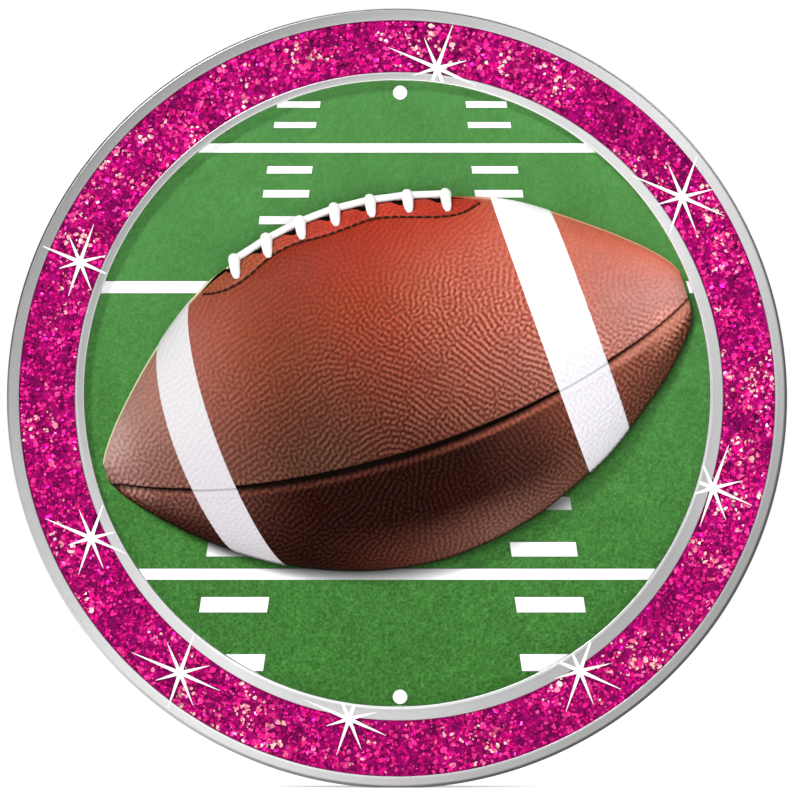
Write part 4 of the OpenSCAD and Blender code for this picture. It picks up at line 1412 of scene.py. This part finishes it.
# ---------------------------------------------------------------------------
# Turf field
# ---------------------------------------------------------------------------
def turf():
    n = 290
    u = np.linspace(-1, 1, n)
    uu, vv = np.meshgrid(u, u, indexing="ij")
    x = uu * np.sqrt(1 - vv ** 2 / 2)
    y = vv * np.sqrt(1 - uu ** 2 / 2)
    p = np.stack([x.ravel(), y.ravel()], 1) * FIELD_R
    p[:, 1] += FIELD_DY
    f1, f2, own = cells(p, 0.26, 400)
    g1, g2, own2 = cells(p, (0.17, 0.24), 420)
    blade = smooth_noise(p, 0.16, 77)
    z = FIELD_TOP - 0.035 + 0.045 * own * (1 - 0.5 * f1) + 0.035 * blade + 0.02 * own2
    z = np.minimum(z, FIELD_TOP + 0.06)
    # top of the field is a little greyer, the bottom deeper and more saturated
    k = ease((p[:, 1] + 20) / 36)
    base = mix(linc(60, 113, 49)[None, :], linc(74, 129, 67)[None, :], k)
    patch = 0.93 + 0.14 * smooth_noise(p, 1.6, 12)
    grain = 0.86 + 0.28 * (0.5 * own + 0.3 * own2 + 0.2 * blade)
    soft = 1 + (grain - 1) * mix(np.array([2.0]), np.array([0.8]), k)[:, 0]
    tint = np.ones((len(p), 3))
    tint[:, 0] += 0.10 * (own2 - 0.5)
    tint[:, 2] += 0.12 * (own - 0.5)
    # the shade that hugs the ball, deepest under its right half
    dx, dy = p[:, 0] - BALL_X, p[:, 1] - BALL_Y
    a = (dx * math.cos(TILT) + dy * math.sin(TILT))
    b = (dy * math.cos(TILT) - dx * math.sin(TILT))
    gap = -b - half_w(np.clip(a, TIP_L, TIP_R)) - fair(a, LOW_FIX)
    near = np.clip(1 - gap / 0.75, 0, 1) * (b < 0) * ease((a + 19) / 6)
    near = near * (1 - ease((np.abs(a - 2.1) - 19.0) / 2.5))
    soft = soft * (1 - 0.72 * near ** 1.3)
    col = base * (patch * soft)[:, None] * tint
    idx = np.arange(n * n).reshape(n, n)
    quads = np.stack([idx[:-1, :-1], idx[1:, :-1], idx[1:, 1:], idx[:-1, 1:]], -1).reshape(-1, 4)
    edge = np.concatenate([idx[:-1, 0], idx[-1, :-1], idx[:0:-1, -1], idx[0, :0:-1]])
    m = len(edge)
    low = np.concatenate([p[edge], np.full((m, 1), PLATE_TOP)], 1)
    v = np.concatenate([np.concatenate([p, z[:, None]], 1), low])
    i = np.arange(m)
    j = (i + 1) % m
    wall = np.stack([edge[j], edge[i], n * n + i, n * n + j], 1)
    colours = np.concatenate([col, col[edge] * 0.5])
    make("turf_field", v, quads=np.concatenate([quads, wall]), ngons=[(n * n + i)[::-1]],
         mats=[mat_turf], sharp=60, colour=colours, slot="turf", replaces=["field_disc"],
         amount=np.concatenate([2.4 - 1.8 * k, np.ones(m)]))


turf()


# CAD nodes that stay as they are, with their finish
for node, mat in (("yard_lines", mat_chalk), ("hash_marks", mat_chalk), ("dot_marks", mat_chalk)):
    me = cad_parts[node].data
    me.materials.clear()
    me.materials.append(mat)

# ---------------------------------------------------------------------------
# Floor, light and camera
# ---------------------------------------------------------------------------
fm = Mat("floor_card")
fm.base(fm.ramp(fm.noise(14, 3), [(0.3, (0.93, 0.93, 0.93)), (0.7, (0.96, 0.96, 0.96))]))
fm.set(**{"Roughness": 0.9, "Emission_Color": (1, 1, 1, 1), "Emission_Strength": 0.5})
bm = bpy.data.meshes.new("floor")
bm.from_pydata([(-0.7, -0.7, 0), (0.7, -0.7, 0), (0.7, 0.28, 0), (-0.7, 0.28, 0)], [], [(0, 1, 2, 3)])
floor = bpy.data.objects.new("floor", bm)
floor.location = (0, 0, cad_lo[2])
bm.materials.append(fm.m)
bpy.context.scene.collection.objects.link(floor)

world = bpy.data.worlds.new("studio")
bpy.context.scene.world = world
world.use_nodes = True
wt = world.node_tree
bg = wt.nodes["Background"]
bg.inputs["Color"].default_value = (1, 1, 1, 1)
bg.inputs["Strength"].default_value = 0.15
white = wt.nodes.new("ShaderNodeBackground")
white.inputs["Color"].default_value = (1, 1, 1, 1)
white.inputs["Strength"].default_value = 1.0
path = wt.nodes.new("ShaderNodeLightPath")
pick = wt.nodes.new("ShaderNodeMixShader")
wt.links.new(path.outputs["Is Camera Ray"], pick.inputs["Fac"])
wt.links.new(bg.outputs[0], pick.inputs[1])
wt.links.new(white.outputs[0], pick.inputs[2])
wt.links.new(pick.outputs[0], wt.nodes["World Output"].inputs["Surface"])


def area(name, loc, size, power, aim=(0, 0, 0)):
    d = bpy.data.lights.new(name, "AREA")
    d.shape = "DISK"
    d.size = size
    d.energy = power
    o = bpy.data.objects.new(name, d)
    o.location = loc
    import mathutils
    o.rotation_euler = (mathutils.Vector(aim) - mathutils.Vector(loc)).to_track_quat("-Z", "Y").to_euler()
    o.visible_camera = False
    bpy.context.scene.collection.objects.link(o)
    return o


area("key", (-0.42, -0.62, 0.62), 0.16, 6.6)
area("fill", (0.45, -0.8, 0.25), 0.7, 0.8)
area("front", (0.1, -1.1, 0.15), 0.9, 1.9)
area("top", (0.1, 0.8, 0.95), 1.3, 8, aim=(0, 0.2, 0))
area("edge", (0.76, -0.06, 0.72), 0.5, 1.3)

cam_data = bpy.data.cameras.new("camera")
cam_data.lens = 300
cam_data.sensor_width = 36
cam = bpy.data.objects.new("camera", cam_data)
dist = 800 * 0.06521 * MM * 300 / 36
cam.location = (0.196 * MM, -RIM_TOP * MM - dist, -0.11 * MM)
cam.rotation_euler = (math.pi / 2, 0, 0)
cam_data.clip_start, cam_data.clip_end = 0.01, 50
bpy.context.scene.collection.objects.link(cam)
bpy.context.scene.camera = cam
bpy.context.scene.view_settings.view_transform = "Standard"
bpy.context.scene.view_settings.look = "None"
